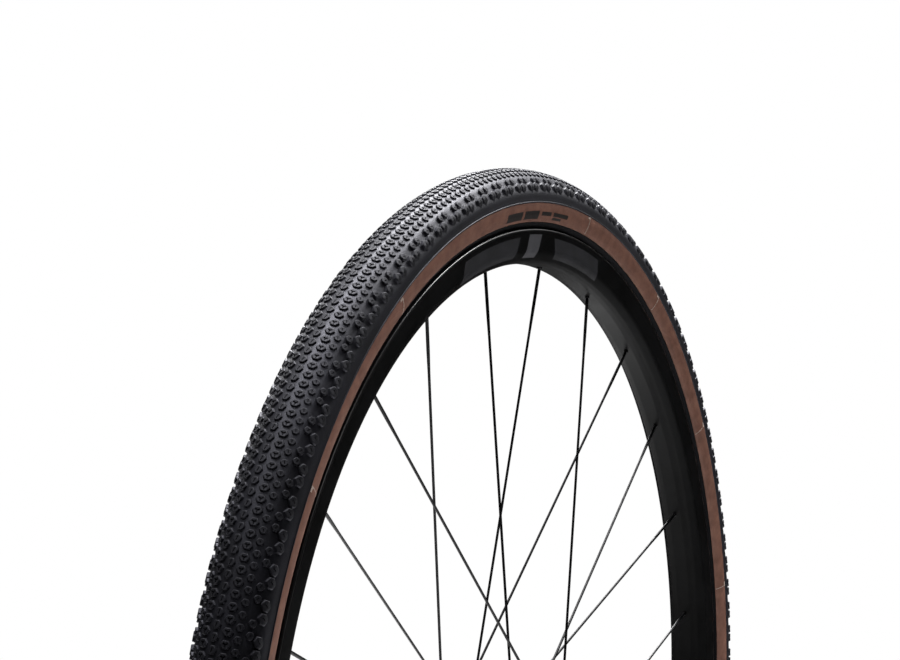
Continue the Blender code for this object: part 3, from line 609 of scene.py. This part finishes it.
def add_breaker():
    profile = section_band(-58, 58, GAP, 6.0) + section_band(58, -58, SKIN, 6.0)
    piece = add_ring("breaker_cloth", profile, breaker_cloth, steps=180)
    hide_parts("breaker_belt")


def add_bead_core(side, word):
    low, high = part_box("bead_core_right")
    middle_y = (low.y + high.y) / 2
    middle_r = high.z - 0.9 * MM
    angles = np.radians(np.arange(0, 360, 30))
    profile = [(middle_r + 0.85 * MM * cos(a), side * (middle_y + 0.85 * MM * sin(a)))
               for a in angles]
    piece = add_ring("bead_cord_" + word, profile, breaker_cloth, steps=180, sharp=60)
    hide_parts("bead_core_" + word)


# Black chafer rubber, coloured darker than the tread rubber: painted shade in the gap between
# tyre and rim.
chafer_rubber_and_gap_shade = moulded_rubber("chafer_rubber_and_gap_shade", "#080808", "#0e0d0d", 0.6, 0.75, 0.7 * MM,
                               0.1)
casing_cloth = woven("coated_nylon_cloth", "#5d564c", "#8c8478", 0.8 * MM)
breaker_cloth = woven("aramid_cloth", "#8a7436", "#c9b26a", 0.8 * MM)
add_casing()
add_breaker()
for side, word in ((-1, "left"), (1, "right")):
    add_chafer(side, word)
    add_bead_core(side, word)

# ============================================================ rim
# A hollow disc-brake rim, painted satin black over the whole section.  Its flanges hold
# the beads, and its rounded nose carries the spokes.
RIM_DEPTH = 21.0 * MM
SPOKE_BED = RIM_TOP - RIM_DEPTH
RIM_SIDE_FOOT = (RIM_TOP + SPOKE_BED) / 2 - 3.0 * MM
RIM_SIDE_FOOT_Y = RIM_HALF_WIDTH - 1.3 * MM
FILLET_POINTS = 8                               # on each corner of the rim's outline
LIP_CORNER, BED_CORNER = 5, 8                   # the fifth is the lip, the eighth the bed


def rounded(corners, steps=5):
    """Round the corners of a closed outline given as (radius, y, fillet)."""
    points = []
    count = len(corners)
    for index, (radius, y, fillet) in enumerate(corners):
        here = Vector((radius, y))
        back = Vector(corners[index - 1][:2]) - here
        ahead = Vector(corners[(index + 1) % count][:2]) - here
        opening = back.angle(ahead) if back.length and ahead.length else pi
        if fillet <= 0 or opening > radians(178):
            points.append((radius, y))
            continue
        run = min(fillet / tan(opening / 2), back.length * 0.45, ahead.length * 0.45)
        start = here + back.normalized() * run
        end = here + ahead.normalized() * run
        for k in range(steps + 1):
            t = k / steps
            spot = start * (1 - t) ** 2 + here * (2 * t * (1 - t)) + end * t ** 2
            points.append((spot.x, spot.y))
    return points


def rim_profile():
    """Right half from the channel to the nose, then the same half on the left."""
    wall = RIM_HALF_WIDTH - 2.7 * MM
    right = [
        (BEAD_SEAT - 3.0 * MM, 5.5 * MM, 1.5 * MM),
        (BEAD_SEAT, 7.5 * MM, 1.0 * MM),
        (BEAD_SEAT, wall, 0.4 * MM),
        (RIM_TOP, wall + 0.2 * MM, 0.8 * MM),
        (RIM_TOP, RIM_HALF_WIDTH, 1.2 * MM),
        (RIM_SIDE_FOOT, RIM_SIDE_FOOT_Y, 9.0 * MM),
        (SPOKE_BED + 1.0 * MM, 9.2 * MM, 6.0 * MM),
        (SPOKE_BED, 4.5 * MM, 6.0 * MM),
    ]
    left = [(radius, -y, fillet) for radius, y, fillet in right][::-1]
    return rounded(right + left, FILLET_POINTS - 1)


def satin_paint(name, dark, light, low, high):
    """Satin black paint: slight orange peel, faint cloudiness in its sheen."""
    material, tree, shader, place = start_material(name, low, Specular_IOR_Level=0.1)
    cloud = noise(tree, place, 30 * MM, 4.0)
    tree.links.new(two_tone(tree, cloud, dark, light), shader.inputs["Base Color"])
    peel = noise(tree, place, 1.6 * MM, 2.0)
    rough = add(tree, "MapRange", {"Value": cloud, "To Min": low, "To Max": high})
    tree.links.new(rough.outputs[0], shader.inputs["Roughness"])
    bump(tree, shader, peel, 0.02 * MM, 0.25)
    return material


def rim_finish():
    """Satin paint that turns glossy on the moulded lip, where the section ends."""
    material = satin_paint("satin_rim_paint", "#0d0d0d", "#121213", 0.36, 0.44)
    tree = material.node_tree
    shader = tree.nodes["Principled BSDF"]
    place = tree.nodes["Texture Coordinate"].outputs["Object"]
    radius = wheel_polar(tree, place)[0]
    lip = add(tree, "MapRange", {"Value": radius, "From Min": RIM_TOP - 1.8 * MM,
                                 "From Max": RIM_TOP - 0.9 * MM})
    satin = shader.inputs["Roughness"].links[0].from_socket
    rough = add(tree, "Mix", {0: lip.outputs[0], 2: satin, 3: LIP_ROUGHNESS})
    tree.links.new(rough.outputs[0], shader.inputs["Roughness"])
    gloss = add(tree, "MapRange", {"Value": lip.outputs[0], "To Min": 0.06, "To Max": 1.0})
    tree.links.new(gloss.outputs[0], shader.inputs["Specular IOR Level"])
    return material


def add_rim():
    piece = add_ring("rim_body", rim_profile(), rim_paint, sharp=50)
    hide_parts("rim_shell")


LIP_ROUGHNESS = 0.28
rim_paint = rim_finish()
add_rim()


# ------------------------------------------------------------ rim stripes
# Tonal dark grey film under the lacquer: two plain slanted panels with a small paler tab
# between them, on both sides of the rim, at the valve and opposite it.
def rim_side_point(around, share, depth=0.0):
    """A place on the rim side; share runs from the flange (0) to the spoke bed (1)."""
    radius = RIM_TOP + (SPOKE_BED - RIM_TOP) * share
    y = np.interp(radius, SIDE_RADII, SIDE_WIDTHS) - depth
    turn = np.radians(around)
    return np.stack([radius * np.cos(turn), y + 0 * turn, radius * np.sin(turn)], -1)


def slanted_patch(start, end, top, foot, slant, side, rise):
    """A panel on the rim side whose ends lean by slant degrees."""
    rows, columns = 16, 41
    share, across = np.meshgrid(np.linspace(top, foot, rows), np.linspace(0, 1, columns),
                                indexing="ij")
    lean = slant * (share - top) / (foot - top)

    def place(around, share_, depth):
        points = rim_side_point(around, share_, depth)
        points[..., 1] *= side
        return points

    arounds = start + (end - start) * across + lean
    points = np.concatenate([place(arounds, share, -rise).reshape(-1, 3),
                             place(arounds, share, 0.1 * MM).reshape(-1, 3)])
    faces = patch(tyre_point, np.arange(columns), np.arange(rows), 0)[1]
    return flip_for(side, (points, faces))


def tonal_film(name, dark, light):
    """Thin printed film: rougher than the rim's paint, but a little more reflective."""
    material, tree, shader, place = start_material(name, 0.5, Specular_IOR_Level=0.12)
    cloud = noise(tree, place, 14 * MM, 4.0)
    tree.links.new(two_tone(tree, cloud, dark, light), shader.inputs["Base Color"])
    bump(tree, shader, noise(tree, place, 1.2 * MM), 0.01 * MM, 0.2)
    return material


def add_stripes():
    panels, tabs = [], []
    for side in (-1, 1):
        for turn in (0.0, 180.0):
            for start, end, slant in PANELS:
                panels.append(slanted_patch(turn + start, turn + end, *PANEL_SHARES, slant,
                                            side, FILM_THICKNESS))
            start, end, slant = TAB
            tabs.append(slanted_patch(turn + start, turn + end, *TAB_SHARES, slant, side,
                                      FILM_THICKNESS))
    stripes = add_piece("rim_stripes", *join(panels), stripe_film)
    tab = add_piece("rim_tabs", *join(tabs), tab_film)


SIDE_PROFILE = rim_profile()[LIP_CORNER * FILLET_POINTS - 1:BED_CORNER * FILLET_POINTS]
PANELS = ((72.0, 84.8, -1.0), (93.8, 107.5, 1.0))     # start, end and lean in degrees
TAB = (88.2, 91.4, 0.8)
PANEL_SHARES = (0.22, 0.80)                     # upper and lower edge on the rim's side
TAB_SHARES = (0.16, 0.82)
FILM_THICKNESS = 0.08 * MM
SIDE_RADII, SIDE_WIDTHS = np.array(SIDE_PROFILE[::-1]).T
stripe_film = tonal_film("tonal_stripe_film", "#2f2f31", "#363639")
tab_film = tonal_film("pale_tab_film", "#4e4e51", "#5a5a5e")
add_stripes()


# ------------------------------------------------------------ rim tape
# Airtight amber film stretched into the centre channel over the nipple holes.
def add_tape():
    floor = BEAD_SEAT - 3.0 * MM + GAP
    top = floor + 0.4 * MM
    lower = [(BEAD_SEAT + GAP, -7.0 * MM), (floor, -5.2 * MM), (floor, 5.2 * MM)]
    lower += [(BEAD_SEAT + GAP, 7.0 * MM)]
    upper = [(BEAD_SEAT + 2 * GAP, 7.0 * MM), (top, 5.0 * MM), (top, -5.0 * MM)]
    upper += [(BEAD_SEAT + 2 * GAP, -7.0 * MM)]
    piece = add_ring("tape_film", lower + upper, tape_film, steps=180)
    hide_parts("rim_tape")


tape_film = tonal_film("amber_tape_film", "#9a7a3c", "#b8975a")
add_tape()

# ============================================================ spokes and nipples
# Double-butted round steel spokes, blackened, with forged heads and J-bends.  Their
# nipples sit inside the rim, and only the tip of each shank shows at the nose.
SPOKE_COUNT = 24
FIRST_SPOKE = 142.5
WRAP = 60.0
SPOKE_SIDES = 14
END_RADIUS = 1.0 * MM
BUTTED_RADIUS = 0.80 * MM
HUB_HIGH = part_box("hub_shell")[1]
SHELL_END = HUB_HIGH.y
RIGHT_FLANGE = SHELL_END - 7.7 * MM
LEFT_FLANGE = -(SHELL_END - 28.9 * MM)
FLANGE_THICKNESS = 3.2 * MM
HOLE_CIRCLE = HUB_HIGH.z - 3.7 * MM
ELBOW = 2.2 * MM


def swept(stations, sides):
    """A closed round bar through (centre, direction, radius) stations."""
    points, faces = [], []
    for centre, direction, radius in stations:
        turned = direction.to_track_quat("Z", "Y").to_matrix()
        for k in range(sides):
            angle = 2 * pi * k / sides
            spot = Vector((radius * cos(angle), radius * sin(angle), 0))
            points.append(centre + turned @ spot)
    for level in range(len(stations) - 1):
        for k in range(sides):
            a, b = level * sides + k, level * sides + (k + 1) % sides
            faces.append((a, b, b + sides, a + sides))
    faces.append(tuple(range(sides))[::-1])
    faces.append(tuple(range((len(stations) - 1) * sides, len(stations) * sides)))
    return points, faces


def spoke_stations(index):
    """Head, bend, butted blade and nipple of one spoke, from the hub outwards."""
    angle = radians(FIRST_SPOKE - index * 360.0 / SPOKE_COUNT)
    leading = 1 if (index // 2) % 2 == 0 else -1
    outward_side, flange = (1, RIGHT_FLANGE) if index % 2 == 0 else (-1, LEFT_FLANGE)
    hole_angle = angle - leading * radians(WRAP)
    run_side = outward_side * leading
    hole = Vector((HOLE_CIRCLE * cos(hole_angle), flange, HOLE_CIRCLE * sin(hole_angle)))
    bed = Vector((SPOKE_BED * cos(angle), 0, SPOKE_BED * sin(angle)))
    axial = Vector((0, run_side, 0))
    flat = Vector((bed.x - hole.x, 0, bed.z - hole.z)).normalized()
    face = hole + axial * FLANGE_THICKNESS / 2
    back = face - axial * (FLANGE_THICKNESS + GAP)
    elbow = face + axial * ELBOW + flat * ELBOW
    run = (bed - elbow).normalized()
    head = [(1.1, 0.7), (0.95, 1.3), (0.55, 1.75), (0.15, 1.9), (0.0, 1.7), (0.0, 1.0)]
    stations = [(back - axial * (rise * MM), axial, radius * MM) for rise, radius in head]
    stations.append((face, axial, END_RADIUS))
    for bend in (22.5, 45, 67.5):
        a = radians(bend)
        spot = face + axial * ELBOW * sin(a) + flat * ELBOW * (1 - cos(a))
        stations.append((spot, (axial * cos(a) + flat * sin(a)).normalized(), END_RADIUS))
    stations.append((elbow, run, END_RADIUS))
    length = (bed - elbow).length
    for share, radius in ((0.07, END_RADIUS), (0.12, BUTTED_RADIUS), (0.86, BUTTED_RADIUS),
                          (0.91, END_RADIUS)):
        stations.append((elbow + run * length * share, run, radius))
    shank = [(-1.2, 1.0), (-1.2, 1.2), (-0.9, 1.4), (-0.4, 1.5), (2.5, 1.6), (2.5, 2.8)]
    shank += [(6.0, 2.8), (6.4, 2.2)]
    stations += [(bed + run * (reach * MM), run, radius * MM) for reach, radius in shank]
    return stations


def black_steel():
    """Chemically blackened drawn steel: satin, with faint length-wise draw marks."""
    material, tree, shader, place = start_material("blackened_spoke_steel", 0.38, 0.6)
    tone = noise(tree, place, 6 * MM, 4.0)
    tree.links.new(two_tone(tree, tone, "#121213", "#1d1d1f"), shader.inputs["Base Color"])
    bump(tree, shader, noise(tree, place, 0.4 * MM), 0.01 * MM, 0.3)
    return material


spoke_steel = black_steel()
for index in range(SPOKE_COUNT):
    number = "%02d" % (index + 1)
    spoke = add_piece("spoke_and_nipple_" + number,
                      *swept(spoke_stations(index), SPOKE_SIDES), spoke_steel)
    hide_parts("spoke_" + number)

# ============================================================ hub
# A turned and anodised aluminium shell with two drilled flanges and a splined brake
# mount, running on two cartridge bearings over a hollow axle with push-on end caps.
AXLE_STEPS = 96
NOSE = 17.8 * MM
ROTOR_SEAT = -(SHELL_END - 10.3 * MM)
SEAT = 15.3 * MM
BARREL = 13.8 * MM
SPLINE_TEETH = 24


def hub_profile():
    half = FLANGE_THICKNESS / 2
    edge = HUB_HIGH.z
    shoulder = SHELL_END - 8.6 * MM
    root = HOLE_CIRCLE - 2.9 * MM
    corners = [
        (NOSE, -SHELL_END, 0.5), (NOSE, ROTOR_SEAT, 0.2), (21.2 * MM, ROTOR_SEAT, 0.4),
        (21.2 * MM, ROTOR_SEAT + 3.0 * MM, 1.0), (NOSE, LEFT_FLANGE - half - 2.0 * MM, 3.0),
        (root, LEFT_FLANGE - half, 1.0), (edge, LEFT_FLANGE - half, 0.8),
        (edge, LEFT_FLANGE + half, 0.8), (BARREL + 2.0 * MM, LEFT_FLANGE + half, 2.0),
        (BARREL, LEFT_FLANGE + half + 6.0 * MM, 20.0),
        (BARREL, RIGHT_FLANGE - half - 11.0 * MM, 20.0),
        (NOSE, RIGHT_FLANGE - half - 4.0 * MM, 6.0), (NOSE, RIGHT_FLANGE - half, 0.8),
        (edge, RIGHT_FLANGE - half, 0.8), (edge, RIGHT_FLANGE + half, 0.8),
        (NOSE, RIGHT_FLANGE + half, 0.6), (NOSE, SHELL_END, 0.6), (SEAT, SHELL_END, 0.3),
        (SEAT, shoulder, 0.2), (BARREL - 3.0 * MM, shoulder, 0.5),
        (BARREL - 3.0 * MM, -shoulder, 0.5), (SEAT, -shoulder, 0.2),
        (SEAT, -SHELL_END, 0.3),
    ]
    return rounded([(radius, y, fillet * MM) for radius, y, fillet in corners], 4)


def drill(piece, shape, name):
    """Cut a closed shape out of a piece and keep the result as its mesh."""
    points, faces = shape
    mesh = bpy.data.meshes.new(name)
    mesh.from_pydata([tuple(p) for p in points], [], faces)
    cutter = bpy.data.objects.new(name, mesh)
    bpy.context.scene.collection.objects.link(cutter)
    modifier = piece.modifiers.new(name, "BOOLEAN")
    modifier.operation = "DIFFERENCE"
    modifier.solver = "EXACT"
    modifier.object = cutter
    bpy.context.view_layer.update()
    graph = bpy.context.evaluated_depsgraph_get()
    result = bpy.data.meshes.new_from_object(piece.evaluated_get(graph))
    piece.modifiers.clear()
    piece.data = result
    result.set_sharp_from_angle(angle=radians(32))
    bpy.data.objects.remove(cutter)


def flange_holes():
    holes = []
    axial = Vector((0, 1, 0))
    for index in range(SPOKE_COUNT):
        flange = RIGHT_FLANGE if index % 2 == 0 else LEFT_FLANGE
        leading = 1 if (index // 2) % 2 == 0 else -1
        angle = radians(FIRST_SPOKE - index * 360.0 / SPOKE_COUNT - leading * WRAP)
        centre = Vector((HOLE_CIRCLE * cos(angle), flange, HOLE_CIRCLE * sin(angle)))
        reach = axial * (FLANGE_THICKNESS * 0.75)
        half = axial * (FLANGE_THICKNESS / 2)
        stations = [(centre - reach, axial, 2.1 * MM), (centre - half, axial, 1.75 * MM),
                    (centre - half * 0.75, axial, 1.35 * MM),
                    (centre + half * 0.75, axial, 1.35 * MM),
                    (centre + half, axial, 1.75 * MM), (centre + reach, axial, 2.1 * MM)]
        holes.append(swept(stations, 16))
    points = [p for shape in holes for p in shape[0]]
    faces = []
    for number, (hole_points, hole_faces) in enumerate(holes):
        shift = number * len(hole_points)
        faces += [tuple(i + shift for i in face) for face in hole_faces]
    return points, faces


def cut_splines(piece):
    """Press the square splines of the brake mount into the shell's left end."""
    for vertex in piece.data.vertices:
        x, y, z = vertex.co
        radius = sqrt(x * x + z * z)
        if y > ROTOR_SEAT - 0.3 * MM or radius < NOSE - 0.6 * MM:
            continue
        tooth = sin(np.arctan2(z, x) * SPLINE_TEETH)
        sunk = 1 - (0.7 * MM / radius if tooth < 0 else 0.0)
        vertex.co = (x * sunk, y, z * sunk)


def turned_metal(name, dark, light, roughness, metallic, pitch):
    """Lathe-turned metal: fine tool rings run round the axle, 0.2 mm apart when real.

    They are drawn coarser, so that they show; anodising keeps the sheen satin."""
    material, tree, shader, place = start_material(name, roughness, metallic)
    parts = add(tree, "SeparateXYZ", {"Vector": place})
    phase = add(tree, "Math", {0: parts.outputs[1], 1: 2 * pi / pitch},
                operation="MULTIPLY")
    rings = add(tree, "Math", {0: phase.outputs[0]}, operation="SINE")
    tone = noise(tree, place, 8 * MM, 4.0)
    tree.links.new(two_tone(tree, tone, dark, light), shader.inputs["Base Color"])
    bump(tree, shader, rings.outputs[0], 0.01 * MM, 0.35)
    return material


def add_hub():
    shell = add_ring("hub_barrel", hub_profile(), anodised, steps=AXLE_STEPS)
    cut_splines(shell)
    drill(shell, flange_holes(), "flange_drill")
    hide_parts("hub_shell")


def add_end_cap(side, word):
    low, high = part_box("end_cap_right")
    brim = SHELL_END + GAP
    corners = [
        (6.1, low.y, 0.2), (6.9, low.y, 0.2), (6.9, SHELL_END - 1.0 * MM, 0.1),
        (10.2, SHELL_END - 1.0 * MM, 0.1), (10.2, brim, 0.1), (16.5, brim, 0.3),
        (16.5, brim + 0.5 * MM, 0.3), (15.4, brim + 1.2 * MM, 0.6),
        (10.2, brim + 1.2 * MM, 0.6), (10.2, high.y - 1.9 * MM, 0.2),
        (9.7, high.y - 1.6 * MM, 0.2), (9.7, high.y - 1.2 * MM, 0.2),
        (10.2, high.y - 0.9 * MM, 0.2), (10.2, high.y, 0.35), (6.1, high.y, 0.35),
    ]
    profile = rounded([(r * MM, side * y, f * MM) for r, y, f in corners], 3)
    piece = add_ring("end_cap_turned_" + word, profile, anodised, "axle", AXLE_STEPS)
    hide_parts("end_cap_" + word)


def add_axle():
    low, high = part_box("axle_tube")
    corners = [(7.2, low.y, 0.2), (8.2, low.y, 0.3), (8.2, high.y, 0.3), (7.2, high.y, 0.2)]
    profile = rounded([(r * MM, y, f * MM) for r, y, f in corners], 3)
    piece = add_ring("axle_sleeve", profile, bare_alloy, "axle", AXLE_STEPS)
    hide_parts("axle_tube")


anodised = turned_metal("anodised_aluminium", "#1b1b1d", "#252528", 0.34, 0.85, 0.7 * MM)
bare_alloy = turned_metal("turned_aluminium", "#8a8b8e", "#a3a4a7", 0.3, 1.0, 0.5 * MM)
ground_steel = turned_metal("ground_bearing_steel", "#a5a6a8", "#bdbec0", 0.2, 1.0,
                            0.4 * MM)
seal_rubber = moulded_rubber("nitrile_seal_rubber", "#17181a", "#202123", 0.5, 0.65,
                             0.6 * MM)
add_hub()
add_axle()
for side, word in ((-1, "left"), (1, "right")):
    add_end_cap(side, word)


# ------------------------------------------------------------ cartridge bearings
# Ground steel races with nine balls on a pressed cage, closed by rubber seals.  The
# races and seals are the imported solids; the balls are made round here.
def add_balls(word):
    node = "ball_set_" + word
    low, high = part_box(node)
    circle = 11.75 * MM
    middle = (low.y + high.y) / 2
    shapes = []
    for index in range(9):
        angle = 2 * pi * index / 9
        centre = Vector((circle * cos(angle), middle, circle * sin(angle)))
        latitudes = np.radians(np.linspace(-84, 84, 13))
        stations = [(centre + Vector((0, 2.0 * MM * sin(a), 0)), Vector((0, 1, 0)),
                     2.0 * MM * cos(a)) for a in latitudes]
        ball_points, ball_faces = swept(stations, 20)
        shapes.append((np.array([tuple(p) for p in ball_points]), ball_faces))
    band = rounded([(circle - 0.6 * MM, middle - 0.6 * MM, 0.3 * MM),
                    (circle + 0.6 * MM, middle - 0.6 * MM, 0.3 * MM),
                    (circle + 0.6 * MM, middle + 0.6 * MM, 0.3 * MM),
                    (circle - 0.6 * MM, middle + 0.6 * MM, 0.3 * MM)], 2)
    band = outward(band)
    shapes.append((ring_points(band, 72), ring_faces(len(band), 72)))
    piece = add_piece("balls_and_cage_" + word, *join(shapes), ground_steel, node)
    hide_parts(node)


for word in ("left", "right"):
    add_balls(word)
    for node, finish in (("bearing_inner_race_", ground_steel),
                         ("bearing_outer_race_", ground_steel),
                         ("bearing_seal_", seal_rubber)):
        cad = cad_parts[node + word]
        cad.data.materials.clear()
        cad.data.materials.append(finish)

# ============================================================ valve
# A plated brass stem with a rubber foot inside the tyre, an O-ring and a knurled lock
# nut against the rim, the valve core with its own small nut, and a black screw cap.
VALVE_STEPS = 48


def add_valve_part(name, corners, material, body, steps=VALVE_STEPS, knurl=None):
    """A turned part on the valve axis; heights are distances below the wheel centre."""
    profile = outward(rounded([(max(r, 0.02) * MM, h, f * MM) for r, h, f in corners], 3))
    points = []
    for step in range(steps):
        angle = 2 * pi * step / steps
        for radius, height in profile:
            if knurl and radius > knurl[0] and knurl[1] < height < knurl[2]:
                radius -= knurl[3] * (step % 2)
            points.append((radius * sin(angle), radius * cos(angle), -height))
    faces = ring_faces(len(profile), steps)
    return add_piece(name, points, [face[::-1] for face in faces], material, body)


def below(node):
    """Nearest and furthest distance of a valve node below the wheel centre."""
    low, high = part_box(node)
    return -high.z, -low.z


def threads(radius, start, end, pitch, depth):
    """Corners of a threaded length as close grooves."""
    corners = []
    count = int((end - start) / pitch)
    for k in range(count):
        corners.append((radius, start + k * pitch, 0.0))
        corners.append((radius - depth, start + (k + 0.5) * pitch, 0.0))
    return corners


def plated_brass():
    """Nickel-plated brass: pale warm grey, semi-bright, slightly uneven."""
    material, tree, shader, place = start_material("nickel_plated_brass", 0.28, 1.0)
    tone = noise(tree, place, 3 * MM, 4.0)
    tree.links.new(two_tone(tree, tone, "#8f8a7c", "#b3ad9c"), shader.inputs["Base Color"])
    bump(tree, shader, noise(tree, place, 0.5 * MM), 0.01 * MM, 0.3)
    return material


def add_valve():
    top, foot = below("valve_stem")
    shoulder = top + 7.0 * MM
    head = foot - 1.2 * MM
    corners = [(1.3, top, 0.1), (2.4, top, 0.1)]
    corners += threads(2.4, top + 0.4 * MM, shoulder - 0.6 * MM, 0.5 * MM, 0.16)
    corners += [(2.4, shoulder, 0.1), (3.0, shoulder, 0.2)]
    corners += threads(3.0, shoulder + 0.5 * MM, head - 1.0 * MM, 0.8 * MM, 0.2)
    corners += [(3.0, head, 0.1), (4.6, head, 0.2), (4.6, foot, 0.3), (1.3, foot, 0.1)]
    stem = add_valve_part("valve_stem_plated", corners, brass, "wheel")
    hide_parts("valve_stem")

    top, foot = below("valve_grommet")
    corners = [(3.3, top, 0.2), (4.0, top, 0.4), (4.6, foot, 0.5), (3.3, foot, 0.2)]
    grommet = add_valve_part("valve_foot_rubber", corners, seal_rubber, "wheel")
    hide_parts("valve_grommet")

    top, foot = below("valve_o_ring")
    corners = [(3.3, top, 0.7), (4.6, top, 0.8), (4.6, foot, 0.8), (3.3, foot, 0.7)]
    seal = add_valve_part("valve_o_ring_rubber", corners, seal_rubber, "wheel")
    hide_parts("valve_o_ring")

    top, foot = below("valve_lock_nut")
    corners = [(3.3, top, 0.3), (5.0, top, 0.4), (5.5, top + 0.8 * MM, 0.2),
               (5.5, foot - 0.8 * MM, 0.2), (5.2, foot, 0.3), (3.3, foot, 0.3)]
    knurl = (5.3 * MM, top, foot, 0.35 * MM)
    nut = add_valve_part("valve_lock_nut_knurled", corners, anodised, "valve_nut", 80,
                         knurl)
    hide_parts("valve_lock_nut")

    top, foot = below("valve_core")
    nut_top, nut_foot = top + 1.0 * MM, top + 5.0 * MM
    corners = [(0.0, top, 0.0), (0.7, top, 0.2), (0.9, nut_top, 0.0), (1.9, nut_top, 0.3),
               (1.9, nut_foot, 0.3), (0.9, nut_foot, 0.0), (0.9, foot, 0.2),
               (0.0, foot, 0.0)]
    knurl = (1.8 * MM, nut_top, nut_foot, 0.2 * MM)
    core = add_valve_part("valve_core_pin", corners, brass, "valve_core", 40, knurl)
    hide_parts("valve_core")

    top, foot = below("valve_cap")
    corners = [(0.0, top, 0.0), (2.2, top, 1.2), (4.0, top + 3.0 * MM, 2.0),
               (4.3, foot - 7.0 * MM, 0.4), (4.3, foot, 0.3), (3.3, foot, 0.2),
               (3.3, top + 2.2 * MM, 0.8), (1.4, top + 1.2 * MM, 0.4),
               (0.0, top + 1.0 * MM, 0.0)]
    knurl = (4.2 * MM, foot - 6.6 * MM, foot, 0.25 * MM)
    cap = add_valve_part("valve_cap_moulded", corners, cap_plastic, "valve_cap", 72, knurl)
    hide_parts("valve_cap")


brass = plated_brass()
cap_plastic = satin_paint("moulded_cap_plastic", "#141415", "#1c1c1d", 0.45, 0.55)
add_valve()


# ============================================================ floor, light and camera
# A pale painted floor, a white room that the camera sees but that gives little light, and
# ten square soft boxes, most of them behind and above, for the sheen on the crown.
def floor_paint():
    """Matt white studio paint with a trace of roller texture."""
    material, tree, shader, place = start_material("studio_floor_paint", 0.9)
    tone = noise(tree, place, 60 * MM, 3.0)
    tree.links.new(two_tone(tree, tone, "#dedede", "#e4e4e4"), shader.inputs["Base Color"])
    shader.inputs["Specular IOR Level"].default_value = 0.0
    return material


def add_floor():
    half = FLOOR_HALF_SIZE
    corners = [(-half, -half), (half, -half), (half, half), (-half, half)]
    mesh = bpy.data.meshes.new("studio_floor")
    mesh.from_pydata([(x, y, cad_low[2] - 1.0 * MM) for x, y in corners], [],
                     [(0, 1, 2, 3)])
    mesh.materials.append(floor_paint())
    floor = bpy.data.objects.new("studio_floor", mesh)
    bpy.context.scene.collection.objects.link(floor)


def add_room():
    """White to the camera, and a dim soft grey for the light that it gives."""
    world = bpy.data.worlds.new("white_studio")
    world.use_nodes = True
    tree = world.node_tree
    ground = tree.nodes["Background"]
    ground.inputs["Color"].default_value = (1.0, 1.0, 1.0, 1.0)
    sight = tree.nodes.new("ShaderNodeLightPath")
    level = add(tree, "MapRange", {"Value": sight.outputs["Is Camera Ray"],
                                   "To Min": ROOM_LIGHT, "To Max": 1.0})
    tree.links.new(level.outputs[0], ground.inputs["Strength"])
    bpy.context.scene.world = world


def add_soft_box(name, azimuth, elevation, distance, size, power):
    """A square soft box that faces the wheel; angles in degrees, distance in metres."""
    across, up = radians(azimuth), radians(elevation)
    direction = Vector((cos(up) * cos(across), cos(up) * sin(across), sin(up)))
    lamp = bpy.data.lights.new(name, "AREA")
    lamp.shape = "SQUARE"
    lamp.size = size
    lamp.energy = power
    holder = bpy.data.objects.new(name, lamp)
    bpy.context.scene.collection.objects.link(holder)
    aim = (-direction).to_track_quat("-Z", "Y").to_matrix().to_4x4()
    holder.matrix_world = Matrix.Translation(direction * distance) @ aim
    holder.visible_camera = False


def add_camera():
    """Level with the top of the wheel, ahead and to its left."""
    lens = bpy.data.cameras.new("camera")
    lens.lens = FOCAL_LENGTH
    lens.sensor_width = 36.0
    lens.clip_start = 0.05
    yaw, pitch = radians(CAMERA_YAW), radians(CAMERA_PITCH)
    forward = Vector((sin(yaw) * cos(pitch), cos(yaw) * cos(pitch), sin(pitch)))
    aim = forward.to_track_quat("-Z", "Y").to_matrix().to_4x4()
    camera = bpy.data.objects.new("camera", lens)
    bpy.context.scene.collection.objects.link(camera)
    camera.matrix_world = Matrix.Translation(CAMERA_PLACE) @ aim
    bpy.context.scene.camera = camera


FLOOR_HALF_SIZE = 0.8
ROOM_LIGHT = 0.01
CAMERA_PLACE = (-1.17903, -0.54992, 0.31412)    # metres from the wheel's centre
CAMERA_YAW = 63.334                             # degrees from +Y towards +X
CAMERA_PITCH = -2.563
FOCAL_LENGTH = 86.99                            # millimetres, for a 36 mm wide sensor
SOFT_BOXES = [
    ("back_high", 26.7, 55, 2.5, 0.9, 47), ("back_low", 26.7, 30, 2.5, 0.9, 40),
    ("back_top", 26.7, 80, 2.5, 0.9, 28), ("right_high", -18.3, 55, 2.5, 0.9, 64),
    ("right_low", -23.3, 30, 2.5, 0.9, 5), ("left_top", 116.7, 80, 2.5, 0.9, 42),
    ("left_high", 71.7, 55, 2.5, 0.9, 4), ("left_low", 64.2, 30, 2.5, 0.9, 9),
    ("front_left_high", 161.7, 55, 2.5, 0.9, 6), ("near_fill", -135.0, 57, 1.2, 0.4, 1),
]
add_floor()
add_room()
for soft_box in SOFT_BOXES:
    add_soft_box(*soft_box)
add_camera()
bpy.context.scene.view_settings.view_transform = "Standard"
